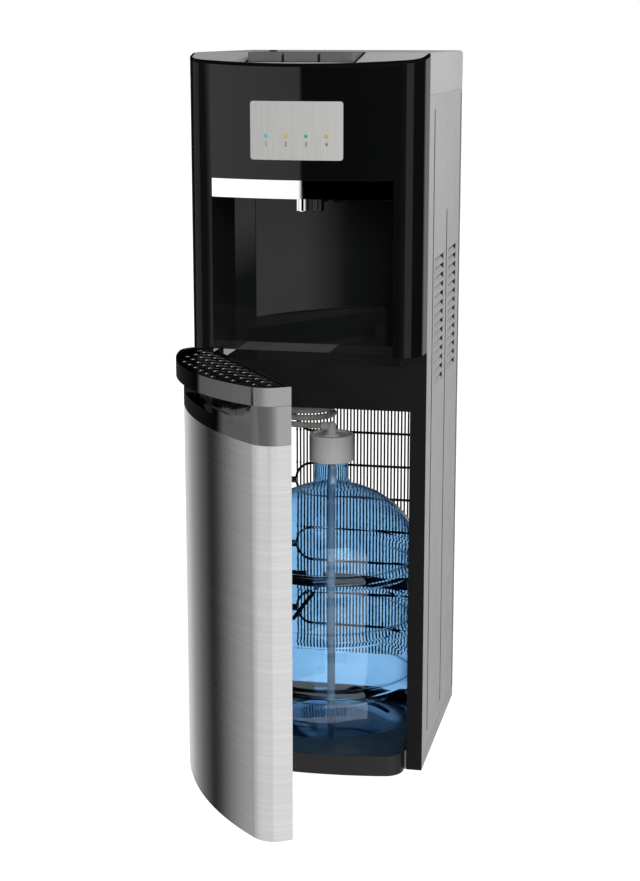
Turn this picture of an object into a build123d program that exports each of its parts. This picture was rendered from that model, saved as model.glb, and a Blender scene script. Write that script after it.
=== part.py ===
from build123d import *
import math
import os

# Bottom load water cooler, in millimetres. It is drawn about the centre of the cabinet's footprint on the
# floor, and exported with its origin moved to the middle of the front left foot's underside.
# +Z is up, the front faces -Y, and +X is to the right of someone who faces the cooler.

# Cabinet
WIDTH = 332.0
DEPTH = 323.0
HEIGHT = 1040.0
HALF = WIDTH / 2
FRONT = -DEPTH / 2
BACK = DEPTH / 2
FAR = 2000.0
FOOT_H = 8.0
FOOT_R = 17.0
FOOT_INSET_X = 38.0
FOOT_INSET_Y = 34.0
SHEET = 1.0
PLASTIC = 3.0
GAP = 0.3
PAN_WALL_H = 26.0
PAN_BACK_H = 3.0
PAN_TOP = FOOT_H + SHEET
SKIRT_Z = HEIGHT - 57.0
INNER = HALF - SHEET - GAP
SIDE_FLANGE = 20.0
GROOVE_W = 3.0
GROOVE_DEPTH = 0.45
COVER_WALL = 2.5
COVER_EDGE_R = 5.0
SCREW_R = 1.4

# Front frame round the bottle compartment
FRAME_T = 3.0
PILLAR_W = 22.6
FRAME_OPEN_HALF = HALF - PILLAR_W
FRAME_OPEN_TOP = 545.0
FRAME_TOP = 610.2
FRAME_RETURN = 14.0
MAGNET_COVER = 0.9
DECK_Z = FRAME_OPEN_TOP + 4.0
DECK_T = 1.5
PANEL_FRONT = FRONT + FRAME_T + GAP
MAGNET_Z = 300.0
MAGNET_W, MAGNET_H = 12.0, 44.0

# Bowed front: the plan of the upper panel and of the door
BOW_END = 38.5
BOW_SAG = 36.0
BOW_CORNER_R = 34.0
BOW_TAPER = 4.0
BOW_BOTTOM = 630.0
BOW_Y = FRONT - BOW_END
BOW_FRONT = BOW_Y - BOW_SAG
SLOPE_Y = FRONT + 8.5
SLOPE_DROP = 14.0

# Dispensing niche
NICHE_HALF = HALF - 39.0
NICHE_TOP = HEIGHT - 193.0
NICHE_BACK_Y = FRONT + 70.5
NICHE_FLOOR_Z = 613.0
NICHE_WALL = 2.5
BAND_H = 25.0
BAND_T = 1.8
BAND_PROUD = 0.5
SPOUT_R = 8.5
SPOUT_BORE_R = 5.5
SPOUT_X = 11.0
SPOUT_Y = FRONT + 0.5
SPOUT_BOTTOM = NICHE_TOP - 23.0
MANIFOLD_LIFT = 14.0
MANIFOLD_H = 26.0

# Indicator plate and its lamps
PLATE_X = -3.5
PLATE_W = 128.0
PLATE_H = 78.0
PLATE_Z = HEIGHT - 102.0
PLATE_T = 1.2
PLATE_PROUD = 0.5
PLATE_R = 4.0
LAMP_PITCH = 27.8
LAMP_Z = PLATE_Z - 7.0
LAMP_R = 2.5
LAMP_PROUD = 1.2
LAMP_COUNT = 4
BOARD_SET = 14.0

# Dispensing buttons on the sloping top
BUTTON_W = 46.0
BUTTON_L = 66.0
BUTTON_T = 6.0
BUTTON_PROUD = 2.0
BUTTON_LEVEL = 1.0
BUTTON_BAR = 3.4
BUTTON_GAP = 0.5
BUTTON_AXLE_R = 1.5
BUTTON_NAMES = ("button_hot", "button_room", "button_cold")
RIM_W = 3.2
RIM_T = 9.0
LOCK_X = -56.0
LOCK_SET = 9.0
AXLE_BACK = 5.0
AXLE_DROP = 4.0
AXLE_END = 1.2
VALVE_DROP = 10.4
VALVE_Y = FRONT - 30.5
VALVE_BODY_TOP = 28.0
VALVE_BODY_FOOT = 64.0
BRIDGE_T = 1.9
VALVE_R = 11.0

# Door
DOOR_OPEN_DEG = 56.0
DOOR_SAG = 27.5
DOOR_CORNER_R = 34.0
DOOR_GAP = 0.6
DOOR_BOTTOM = 9.0
SKIN_TOP = 552.0
CAP_TOP = 603.7
TRAY_TOP = BOW_BOTTOM - 2.0
SKIN_T = 0.8
LINER_DEPTH = 15.0
LINER_WALL = 3.0
HINGE_INSET = 12.0
PIN_R = 4.0
PIN_CLEAR = 0.08
BUSH_R = 6.5
LIP_SAG = 48.0
TRAY_WALL = 2.5
BLOCK_W = 24.0
BLOCK_D = 22.0
GRILLE_T = 3.0
GRILLE_DROP = 1.5
HOLE_L = 20.0
HOLE_W = 7.5
HOLE_PITCH_X = 24.0
HOLE_PITCH_Y = 16.0
HOLE_TILT = 35.0
LATCH_W = 34.0
LATCH_H = 22.0
LATCH_X = 90.0
LATCH_Z = 583.0
LATCH_TRAVEL = 3.0
LATCH_GAP = 0.4
LATCH_DEPTH = 12.0
GRIP_X0 = -110.0
GRIP_X1 = 40.0
GRIP_Z = 574.0

# Bottle, cap and hose
BASE_TOP = 40.0
SEAT_Z = 13.0
BOTTLE_Y = -14.0
BASE_HALF = FRAME_OPEN_HALF - 2.9
BASE_BACK = BACK - 43.5
BASE_STEP_Y = 76.0
BASE_REAR_TOP = 24.0
BASE_END = BOW_Y + 8.0
BASE_SAG = 16.0
BASE_CORNER_R = 28.0
BOTTLE_R = 134.0
BOTTLE_WALL = 1.3
RIB_DEPTH = 6.0
RIB_HALF = 11.0
RIB_HEIGHTS = (104.0, 192.0, 280.0)
SHOULDER_Z = 302.0
NECK_R = 26.0
NECK_TOP = 462.0
CAP_R = 33.5
CAP_BOTTOM = 436.0
CAP_HEAD = 476.0
PROBE_R = 6.0
PROBE_BOTTOM = 36.0
ELBOW_Z = 487.0
ELBOW_END = -15.0
HOSE_R = 4.5
COIL_R = 52.0
COIL_PITCH = 11.0
COIL_TURNS = 2.25
COIL_X = -60.0
RISE_R = 28.0

# Condenser
WIRE_R = 1.4
WIRE_PITCH = 5.5
WIRE_COUNT = 41
WIRE_BOTTOM = 71.0
WIRE_TOP = 530.0
TUBE_R = 2.0
TUBE_Y = BACK - 8.5
TUBE_TOP = 496.0
TUBE_PITCH = 54.0
TUBE_PASSES = 8
TUBE_X = 18.0
TUBE_HALF = 84.0
BRACKET_W = 14.0
BRACE_Z = 188.0
BRACE_H = 21.0

# Side louvres
LOUVRE_COUNT = 14
LOUVRE_TOP = 742.0
LOUVRE_PITCH = 13.5
LOUVRE_H = 11.5
LOUVRE_IN = 8.5
LOUVRE_COLUMNS = ((FRONT + 64.5, FRONT + 154.5), (BACK - 126.5, BACK - 42.5))
SIDE_GROOVES = (
    (FRONT + 49.5, 52.0, SKIRT_Z - 20), (FRONT + 178.5, 51.0, NICHE_TOP - 33), (BACK - 11.5, 27.0, SKIRT_Z - 6),
)

# Machinery behind the niche
COMP_X, COMP_Y, COMP_R, COMP_H = 72.0, 50.0, 72.0, 165.0
PIPE_DROP_X = 131.0
PIPE_BEND_R = 6.0
DRIER_X, DRIER_Y, DRIER_L, DRIER_R = -85.0, BACK - 39.5, 90.0, 9.5
PUMP_X, PUMP_Y = -96.0, -40.0
GROMMET_H = 10.0
SHELF_Z = LOUVRE_TOP + 16.0
COLD_X, HOT_X, TANK_Y = -78.0, 84.0, 38.0
COLD_R, COLD_H, FOAM_T = 52.0, 150.0, 18.0
HOT_R, HOT_H = 52.0, 150.0
TANK_T = 1.2

# Rear
BACK_Y_OUT = BACK - 1.5
SWITCH_X = (70.0, 104.0)
SWITCH_Z = HEIGHT - 135.0
SWITCH_W, SWITCH_H = 14.0, 22.0
INLET_X, INLET_Z = 110.0, DECK_Z + 61.0
INLET_W, INLET_H, INLET_WALL = 27.2, 19.2, 2.1
VENT_COUNT, VENT_BOTTOM, VENT_PITCH = 10, 660.0, 14.0
DRAIN_X, DRAIN_Z, DRAIN_R = -110.0, DECK_Z + 61.0, 9.0

DOOR_BACK = FRONT - DOOR_GAP
HINGE_X = -HALF + HINGE_INSET
HINGE_Y = DOOR_BACK - HINGE_INSET
SLOPE_DEG = math.degrees(math.atan2(SLOPE_DROP, SLOPE_Y - BOW_FRONT))
BOARD_Y = BOW_FRONT + BOARD_SET
VALVE_TOP = HEIGHT - VALVE_DROP
LOCK_Y = SLOPE_Y + LOCK_SET
MANIFOLD_Z = NICHE_TOP + MANIFOLD_LIFT


def box(x0, x1, y0, y1, z0, z1):
    """A block between two corners."""
    return Pos((x0 + x1) / 2, (y0 + y1) / 2, (z0 + z1) / 2) * Box(x1 - x0, y1 - y0, z1 - z0)


def rod(x, y, z0, z1, r):
    """An upright cylinder."""
    return Pos(x, y, (z0 + z1) / 2) * Cylinder(r, z1 - z0)


def rod_y(x, z, y0, y1, r):
    """A cylinder that runs front to back."""
    return Pos(x, (y0 + y1) / 2, z) * Rot(90, 0, 0) * Cylinder(r, y1 - y0)


def rod_x(y, z, x0, x1, r):
    """A cylinder that runs side to side."""
    return Pos((x0 + x1) / 2, y, z) * Rot(0, 90, 0) * Cylinder(r, x1 - x0)


def prism(face, z0, z1):
    """A flat plan raised from one height to another."""
    return extrude(Pos(0, 0, z0) * face, z1 - z0, dir=(0, 0, 1))


def bow_plan(inset=0.0, y_back=FRONT, half=HALF, y_end=BOW_Y, sag=BOW_SAG, corner=BOW_CORNER_R,
             taper=BOW_TAPER):
    """Plan with rounded front corners and a bowed front, drawn in by an inset; its sides can taper forwards."""
    radius = (half * half + sag * sag) / (2 * sag)
    centre = y_end - sag + radius
    half_in, front_in = half - inset, half - inset - taper
    radius_in = radius - inset
    end_in = centre - math.sqrt(radius_in**2 - front_in**2)
    right = [(front_in, end_in)] + [(half_in, FRONT)] * (taper > 0 and y_back > FRONT) + [(half_in, y_back)]
    outline = Polyline(*right, *((-x, y) for x, y in reversed(right)))
    outline += ThreePointArc((-front_in, end_in), (0, centre - radius_in), (front_in, end_in))
    face = make_face(outline.edges())
    return fillet(face.vertices().sort_by(Axis.Y)[:2], max(corner - inset, 1.0))


def bow_surface_y(x, y_end=BOW_Y, sag=BOW_SAG):
    """Where the bowed front stands at a given x."""
    radius = (HALF * HALF + sag * sag) / (2 * sag)
    return y_end - sag + radius - math.sqrt(radius**2 - x * x)


def bow_band(proud, depth, y_back=FRONT):
    """Plan of a skin that follows the bowed front, from proud of it to a depth behind it."""
    return bow_plan(-proud, y_back) - bow_plan(depth, y_back + 1.0)


def on_slope(part):
    """Carries a part from level, origin at the crease, onto the sloping front of the top."""
    return Pos(0, SLOPE_Y, HEIGHT) * Rot(SLOPE_DEG, 0, 0) * part


def above_slope():
    """Everything above the sloping plane of the top."""
    return on_slope(box(-FAR, FAR, -FAR, FAR, 0, FAR))


def opened(part):
    """Swings a part of the closed door out to its resting angle."""
    axis = Pos(HINGE_X, HINGE_Y, 0)
    return axis * Rot(0, 0, -DOOR_OPEN_DEG) * Pos(-HINGE_X, -HINGE_Y, 0) * part


def panel_screw_places():
    return [(s * (HALF - 12), z) for s in (-1, 1) for z in (DECK_Z + 20, 760, SKIRT_Z - 24)]


def hinge_screw_places():
    return [(-HALF + 17, z) for z in (644, 658)]


def screw(x, y, z, rotation=(0, 0, 0)):
    """Pan-head screw with its head's seat at the point and its shank along local -Z."""
    head = Pos(0, 0, 1.1) * Cylinder(3.6, 2.2) + Pos(0, 0, -2.0) * Cylinder(SCREW_R, 4.0)
    slot = Pos(0, 0, 2.0) * (Box(4.4, 0.9, 1.2) + Box(0.9, 4.4, 1.2))
    return Pos(x, y, z) * Rot(*rotation) * (head - slot)


# Base and cabinet


def foot_places():
    x, y = HALF - FOOT_INSET_X, BACK - FOOT_INSET_Y
    return [(sx * x, sy * y) for sx in (-1, 1) for sy in (-1, 1)]


def feet():
    one = Cylinder(FOOT_R, FOOT_H - 2.0) + Pos(0, 0, (FOOT_H - 2.0) / 2 + 1.0) * Cylinder(FOOT_R - 2.5, 2.0)
    one = Pos(0, 0, (FOOT_H - 2.0) / 2) * one
    stem = rod(0, 0, FOOT_H, PAN_TOP + 0.1, 4.0) + rod(0, 0, PAN_TOP + 0.1, PAN_TOP + 3.0, 6.0)
    return Compound([Pos(x, y, 0) * (one + stem) for x, y in foot_places()])


def base_pan():
    front, back = PANEL_FRONT + SHEET + GAP, BACK - SHEET - GAP
    pan = box(-INNER, INNER, front, back, FOOT_H, PAN_TOP + PAN_WALL_H)
    pan -= box(-INNER + SHEET, INNER - SHEET, front + SHEET, back - SHEET, PAN_TOP, FAR)
    pan -= box(-INNER + SHEET, INNER - SHEET, back - SHEET - 1, back + 1, PAN_TOP + PAN_BACK_H, FAR)
    for x, y in foot_places():
        pan -= rod(x, y, 0, PAN_TOP + 1, 4.2)
    return pan


def base_plan(inset=0.0):
    return bow_plan(inset, BASE_BACK - inset, BASE_HALF, BASE_END, BASE_SAG, BASE_CORNER_R, 0)


def bottle_base():
    """Hollow moulding, lower at the back, with a round well that the bottle stands in."""
    floor_z, well_r = PAN_TOP + GAP, BOTTLE_R - 0.5
    base = prism(base_plan(), floor_z, BASE_TOP) - prism(base_plan(PLASTIC), 0, BASE_TOP - PLASTIC)
    base += rod(0, BOTTLE_Y, SEAT_Z - PLASTIC, BASE_TOP, well_r + PLASTIC)
    base -= box(-FAR, FAR, BASE_STEP_Y, FAR, BASE_REAR_TOP, FAR)
    back_plan = base_plan() & Pos(0, BASE_STEP_Y - PLASTIC + FAR) * Rectangle(2 * FAR, 2 * FAR)
    base += prism(back_plan, BASE_REAR_TOP - PLASTIC, BASE_REAR_TOP)
    step_plan = base_plan() & Pos(0, BASE_STEP_Y - PLASTIC / 2) * Rectangle(2 * FAR, PLASTIC)
    base += prism(step_plan, BASE_REAR_TOP - PLASTIC, BASE_TOP)
    base -= rod(0, BOTTLE_Y, SEAT_Z, BASE_TOP + 1, well_r)
    pan_wall_y = PANEL_FRONT + SHEET + GAP
    return base - box(-FAR, FAR, pan_wall_y - 0.4, pan_wall_y + SHEET + 0.4, 0, PAN_TOP + PAN_WALL_H + 0.4)


def front_frame():
    frame = box(-HALF, HALF, FRONT, FRONT + FRAME_T, FOOT_H, FRAME_TOP)
    frame -= box(-FRAME_OPEN_HALF, FRAME_OPEN_HALF, FRONT - 1, FRONT + FRAME_T + 1, 0, FRAME_OPEN_TOP)
    ear_x = NICHE_HALF + NICHE_WALL + GAP
    frame += box(-HALF, -ear_x, FRONT, FRONT + FRAME_T, FRAME_TOP, BOW_BOTTOM - GAP)
    frame += box(ear_x, HALF, FRONT, FRONT + FRAME_T, FRAME_TOP, BOW_BOTTOM - GAP)
    half, back = FRAME_OPEN_HALF + 2.5, FRONT + FRAME_RETURN
    ring = box(-half, half, FRONT + 1, back, PAN_TOP + PAN_WALL_H + 1.0, FRAME_OPEN_TOP + 2.5)
    ring -= box(-FRAME_OPEN_HALF, FRAME_OPEN_HALF, FRONT, back + 1, 0, FRAME_OPEN_TOP)
    return frame + ring - magnet_catch(0.2)


def magnet_catch(grow=0.0):
    """Magnet bar in a pocket behind the frame's right pillar; it draws the door skin's steel edge."""
    x, w, h = HALF - PILLAR_W / 2, MAGNET_W / 2 + grow, MAGNET_H / 2 + grow
    y0, y1 = FRONT + MAGNET_COVER, FRONT + FRAME_T - 0.1
    return box(x - w, x + w, y0 - grow, y1 + 2 * grow, MAGNET_Z - h, MAGNET_Z + h)


def louvre(y0, y1, z):
    """Slot with a blade pressed inwards from its lower edge, for the right-hand panel."""
    slot = box(HALF - 3, HALF + 1, y0, y1, z, z + LOUVRE_H)
    tip_x, tip_z = HALF - LOUVRE_IN, z + LOUVRE_H * 0.85
    profile = [(HALF, z), (tip_x, tip_z), (tip_x - SHEET, tip_z), (HALF - SHEET, z - 0.4), (HALF, z - 0.4)]
    blade = extrude(Plane.XZ * make_face(Polyline(*profile, close=True)), y1 - y0 - 1.0, dir=(0, 1, 0))
    return slot, Pos(0, y0 + 0.5, 0) * blade


def side_panel(side):
    """Folded sheet with pressed grooves, a front and a rear flange and two columns of louvres."""
    panel = box(HALF - SHEET, HALF, PANEL_FRONT, BACK, FOOT_H, SKIRT_Z)
    for y in (PANEL_FRONT, BACK - SHEET):
        panel += box(HALF - SIDE_FLANGE, HALF, y, y + SHEET, FOOT_H, SKIRT_Z)
    for y, low, high in SIDE_GROOVES:
        panel -= box(HALF - GROOVE_DEPTH, HALF + 1, y - GROOVE_W / 2, y + GROOVE_W / 2, low, high)
    panel -= box(HALF - GROOVE_DEPTH, HALF + 1, FRONT + 11.5, BACK - 11.5, 28.5, 31.0)
    for x, z in panel_screw_places():
        panel -= rod_y(x, z, BACK - 3, BACK + 1, SCREW_R + 0.1)
    for x, z in hinge_screw_places():
        panel -= rod_y(-x, z, PANEL_FRONT - 1, PANEL_FRONT + 3, SCREW_R + 0.1)
    slots, blades = [], []
    for y0, y1 in LOUVRE_COLUMNS:
        for i in range(LOUVRE_COUNT):
            slot, blade = louvre(y0, y1, LOUVRE_TOP - i * LOUVRE_PITCH)
            slots.append(slot)
            blades.append(blade)
    panel = panel - slots + blades
    return panel if side > 0 else mirror(panel, Plane.YZ)


def mid_deck():
    y0, y1 = FRONT + FRAME_RETURN + GAP, BACK_Y_OUT - 4.0
    deck = box(-INNER, INNER, y0, y1, DECK_Z, DECK_Z + DECK_T)
    deck += box(-INNER, INNER, y1 - DECK_T, y1, DECK_Z - 16, DECK_Z)
    x, y, _ = hose_end()
    deck -= rod(x, y, DECK_Z - 1, DECK_Z + DECK_T + 1, 8.0)
    deck -= rod(PIPE_DROP_X, pipe_drop_y(), DECK_Z - 1, DECK_Z + DECK_T + 1, TUBE_R + 1.0)
    return deck


# Upper front


def bow_panel():
    y_back = FRONT + FRAME_T
    shell = prism(bow_plan(0, y_back) - bow_plan(PLASTIC, y_back + 1), BOW_BOTTOM, HEIGHT)
    floor = prism(bow_plan(0.5, y_back), BOW_BOTTOM, BOW_BOTTOM + PLASTIC)
    beside = NICHE_HALF + NICHE_WALL + GAP
    floor -= box(-beside, beside, FRONT - GAP, y_back + 1, BOW_BOTTOM - 1, BOW_BOTTOM + PLASTIC + 1)
    shell += floor
    shell -= box(-NICHE_HALF, NICHE_HALF, -FAR, y_back + 1, 0, NICHE_TOP)
    shell -= above_slope()
    band = prism(bow_band(2, BAND_T), NICHE_TOP - 0.2, NICHE_TOP + BAND_H + 0.2)
    shell -= band & box(-NICHE_HALF + 0.8, NICHE_HALF - 0.8, -FAR, BOW_Y, 0, FAR)
    shell -= plate_block(0.2, 2, PLATE_T - PLATE_PROUD + 0.1)
    for x in lamp_xs():
        shell -= rod_y(x, LAMP_Z, BOW_FRONT - 10, BOW_Y, LAMP_R + 0.2)
    shell -= rod(HINGE_X, HINGE_Y, 0, BOW_BOTTOM + PLASTIC + 1, PIN_R + 0.3)
    return shell - on_slope(rim_space(0.1, RIM_T + GAP))


def trim_band():
    band = prism(bow_band(BAND_PROUD, BAND_T - 0.15), NICHE_TOP, NICHE_TOP + BAND_H)
    return band & box(-NICHE_HALF + 1, NICHE_HALF - 1, -FAR, BOW_Y, 0, FAR)


def plate_block(grow, proud, depth):
    """The indicator plate's space: a rounded rectangle cut from a skin on the bowed front."""
    window = RectangleRounded(PLATE_W + 2 * grow, PLATE_H + 2 * grow, PLATE_R + grow)
    through = extrude(Plane.XZ * Pos(PLATE_X, PLATE_Z) * window, 2 * FAR, both=True)
    skin = prism(bow_band(proud, depth), PLATE_Z - PLATE_H, PLATE_Z + PLATE_H)
    return skin & through & box(-HALF, HALF, -FAR, BOW_Y, 0, FAR)


def lamp_xs():
    return [PLATE_X + (i - 1.5) * LAMP_PITCH for i in range(LAMP_COUNT)]


def indicator_plate():
    plate = plate_block(0, PLATE_PROUD, PLATE_T - PLATE_PROUD)
    for x in lamp_xs():
        plate -= rod_y(x, LAMP_Z, BOW_FRONT - 10, BOW_Y, LAMP_R + 0.15)
    return plate


def lamp(x):
    """Lens with a domed nose, on a shoulder that rests on the lamp board."""
    nose = bow_surface_y(x) - PLATE_PROUD - LAMP_PROUD
    body = rod_y(x, LAMP_Z, nose + LAMP_R * 0.6, BOARD_Y, LAMP_R)
    dome = Pos(x, nose + LAMP_R * 0.6, LAMP_Z) * Rot(90, 0, 0) * Sphere(LAMP_R)
    dome &= box(x - 5, x + 5, nose, nose + LAMP_R * 0.6, LAMP_Z - 5, LAMP_Z + 5)
    return body + dome


def indicator_lamps():
    return Compound([lamp(x) for x in lamp_xs()])


def lamp_board():
    """Circuit board on two posts that stand on the back of the panel."""
    board = box(PLATE_X - 60, PLATE_X + 60, BOARD_Y, BOARD_Y + 1.6, LAMP_Z - 18, LAMP_Z + 18)
    for x in (PLATE_X - 54, PLATE_X + 54):
        front = bow_surface_y(abs(x) + 3.5) + PLASTIC + GAP
        board += rod_y(x, LAMP_Z + 12, front, BOARD_Y, 3.5)
    return board


def niche_liner():
    outer, depth = NICHE_HALF + NICHE_WALL, NICHE_BACK_Y + NICHE_WALL
    front = bow_surface_y(NICHE_HALF + NICHE_WALL) + PLASTIC + GAP
    liner = box(-outer, outer, front, depth, BOW_BOTTOM + PLASTIC + GAP, NICHE_TOP + NICHE_WALL - 2)
    liner += box(-outer, outer, FRONT, depth, NICHE_FLOOR_Z - NICHE_WALL, NICHE_TOP)
    liner -= box(-NICHE_HALF, NICHE_HALF, -FAR, NICHE_BACK_Y, NICHE_FLOOR_Z, NICHE_TOP - 2)
    for x in (-SPOUT_X, SPOUT_X):
        liner -= rod(x, SPOUT_Y, NICHE_TOP - 5, NICHE_TOP + 5, SPOUT_R + 0.2)
    return liner


def spout(x, rounded):
    top = NICHE_TOP + 14.0
    body = rod(x, SPOUT_Y, SPOUT_BOTTOM, top, SPOUT_R)
    rim = body.faces().sort_by(Axis.Z)[0].edges()
    body = fillet(rim, 2.4) if rounded else chamfer(rim, 0.8)
    return body - rod(x, SPOUT_Y, 0, top + 1, SPOUT_BORE_R)


def spout_manifold():
    """Block that joins the valves' outlets to the spouts, on a leg that stands on the niche's ceiling."""
    z0 = MANIFOLD_Z
    block = box(-62, 62, VALVE_Y - 9, SPOUT_Y + 14, z0, z0 + MANIFOLD_H)
    block = fillet(block.edges().filter_by(Axis.Z), 5)
    return block + box(-20, 20, SPOUT_Y + 13, SPOUT_Y + 20, NICHE_TOP + 0.7, z0 + MANIFOLD_H)


def valve_xs():
    return [(i - 1) * (BUTTON_W + BUTTON_BAR) for i in range(3)]


def tap_valves():
    """Three push valves under the buttons, held by a steel bridge, with outlets down to the manifold."""
    parts = []
    for x in valve_xs():
        valve = rod(x, VALVE_Y, VALVE_TOP - VALVE_BODY_FOOT, VALVE_TOP - VALVE_BODY_TOP, VALVE_R)
        valve += rod(x, VALVE_Y, MANIFOLD_Z + MANIFOLD_H, VALVE_TOP - VALVE_BODY_FOOT, 5.0)
        valve += rod(x, VALVE_Y, VALVE_TOP - VALVE_BODY_TOP, VALVE_TOP, 3.5)
        parts.append(valve)
    return Compound(parts)


def valve_bridge():
    """Steel bridge between the bowed panel's side walls, which carries the valves."""
    z = VALVE_TOP - VALVE_BODY_FOOT - BRIDGE_T - 0.1
    span = HALF - PLASTIC - GAP - BOW_TAPER * (FRONT - VALVE_Y - 12) / BOW_END
    bridge = box(-span + 22, span - 22, VALVE_Y - 12, VALVE_Y + 14, z, z + BRIDGE_T)
    bridge += box(-span, span, VALVE_Y + 12, VALVE_Y + 30, z, z + BRIDGE_T)
    for x in valve_xs():
        bridge -= rod(x, VALVE_Y, z - 1, z + 3, 5.1)
    for x0, x1 in ((-span, -span + 2), (span - 2, span)):
        bridge += box(x0, x1, VALVE_Y + 12, VALVE_Y + 30, z - 18, z)
    return bridge


# Top


def top_cover():
    body = box(-HALF, HALF, PANEL_FRONT, BACK, SKIRT_Z + GAP, HEIGHT)
    rim = [e for e in body.faces().sort_by(Axis.Z)[-1].edges() if e.center().Y > PANEL_FRONT + 1]
    body = fillet(rim, COVER_EDGE_R) - above_slope()
    body -= box(-HALF + COVER_WALL, HALF - COVER_WALL, -FAR, BACK - COVER_WALL, 0, HEIGHT - 2 * COVER_WALL)
    lid = prism(bow_plan(PLASTIC + GAP, PANEL_FRONT + 1), SKIRT_Z, HEIGHT) - above_slope()
    lid -= on_slope(box(-FAR, FAR, -FAR, FAR, -FAR, -COVER_WALL))
    cover = body + lid
    cover -= on_slope(rim_space(GAP, FAR))
    cover -= box(LOCK_X - 3.2, LOCK_X + 3.2, LOCK_Y - 3.2, LOCK_Y + 7.4, HEIGHT - 20, HEIGHT + 1)
    return cover


def rim_half():
    return (3 * BUTTON_W + 2 * BUTTON_BAR) / 2 + RIM_W + BUTTON_GAP


def rim_length():
    return BUTTON_L + 2 * RIM_W + 2 * BUTTON_GAP


def rim_space(grow, depth):
    """The button rim's opening, level, with its rear edge on the crease."""
    return box(-rim_half() - grow, rim_half() + grow, -rim_length() - grow, grow, -depth, 5)


def button_rim():
    rim = box(-rim_half(), rim_half(), -rim_length(), 0, -RIM_T, 0.3)
    for x in valve_xs():
        w = BUTTON_W / 2 + BUTTON_GAP
        rim -= box(x - w, x + w, -rim_length() + RIM_W, -RIM_W, -FAR, FAR)
        rim -= rod_x(-RIM_W - AXLE_BACK, -AXLE_DROP, x - w - AXLE_END, x + w + AXLE_END, BUTTON_AXLE_R + 0.15)
    return on_slope(rim)


def button(x):
    """Rocking wedge with a level top and an upright front; its axle is near its rear edge."""
    x0, x1, y1 = x - BUTTON_W / 2, x + BUTTON_W / 2, -RIM_W - BUTTON_GAP
    key_front = SLOPE_Y + (y1 - BUTTON_L) * math.cos(math.radians(SLOPE_DEG))
    key = on_slope(box(x0, x1, y1 - BUTTON_L, y1, BUTTON_PROUD - BUTTON_T, HEIGHT))
    key &= box(-FAR, FAR, key_front, FAR, 0, HEIGHT + BUTTON_LEVEL)
    key = fillet(key.edges().filter_by(Axis.Z), 1.5)
    key = fillet(key.faces().sort_by(Axis.Z)[-1].edges(), 1.0)
    key -= on_slope(box(x0 + 2, x1 - 2, y1 - BUTTON_L + 2, y1 - 9, -FAR, BUTTON_PROUD - 2.2))
    key += on_slope(rod_x(-RIM_W - AXLE_BACK, -AXLE_DROP, x0 - AXLE_END, x1 + AXLE_END, BUTTON_AXLE_R))
    return key + on_slope(box(x0, x1, y1 - 7, y1 - 2.2, -AXLE_DROP - BUTTON_AXLE_R, 0))


def child_lock():
    tab = box(LOCK_X - 4.5, LOCK_X + 4.5, LOCK_Y - 4, LOCK_Y + 4, HEIGHT + GAP, HEIGHT + 3.0)
    tab = fillet(tab.faces().sort_by(Axis.Z)[-1].edges(), 0.8)
    tab += box(LOCK_X - 2.9, LOCK_X + 2.9, LOCK_Y - 2.8, LOCK_Y + 2.8, HEIGHT - 8, HEIGHT + GAP)
    return tab


# Door, drawn closed and then opened


def door_plan(inset=0.0, y_back=None):
    return bow_plan(inset, DOOR_BACK if y_back is None else y_back, HALF, BOW_Y, DOOR_SAG, DOOR_CORNER_R, 0)


def door_surface_y(x):
    return bow_surface_y(x, BOW_Y, DOOR_SAG)


def hinge_corner(z0, z1, r=HINGE_INSET):
    """Rounds the door's rear hinge corner about its axis: what lies outside the round."""
    x, y = -HALF, DOOR_BACK
    return box(x - 1, HINGE_X, HINGE_Y, y + 1, z0, z1) - rod(HINGE_X, HINGE_Y, z0 - 1, z1 + 1, r)


def door_skin():
    skin = prism(door_plan() - door_plan(SKIN_T, DOOR_BACK + 1), DOOR_BOTTOM, SKIN_TOP)
    skin -= hinge_corner(0, FAR)
    hem_low = prism(door_plan(SKIN_T) - door_plan(9, DOOR_BACK + 1), DOOR_BOTTOM, DOOR_BOTTOM + SKIN_T)
    hem = hem_low - hinge_corner(0, FAR) - rod(HINGE_X, HINGE_Y, 0, 20, BUSH_R + 1.5)
    return skin + hem


def liner_block():
    inset = SKIN_T + 0.2
    block = prism(door_plan(inset) - door_plan(LINER_DEPTH, DOOR_BACK + 1), DOOR_BOTTOM + inset, SKIN_TOP)
    return block - hinge_corner(0, FAR, HINGE_INSET - inset)


def door_liner():
    liner = liner_block()
    z0, z1 = DOOR_BOTTOM + 16.0, SKIN_TOP - 8.0
    hollow = prism(door_plan(SKIN_T) - door_plan(LINER_DEPTH - LINER_WALL, DOOR_BACK - 4), z0, z1)
    liner -= hollow & box(-HALF + 24, HALF, -FAR, DOOR_BACK - 4, 0, FAR)
    liner -= rod(HINGE_X, HINGE_Y, 0, DOOR_BOTTOM + 15, BUSH_R + 0.06)
    return liner


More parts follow.
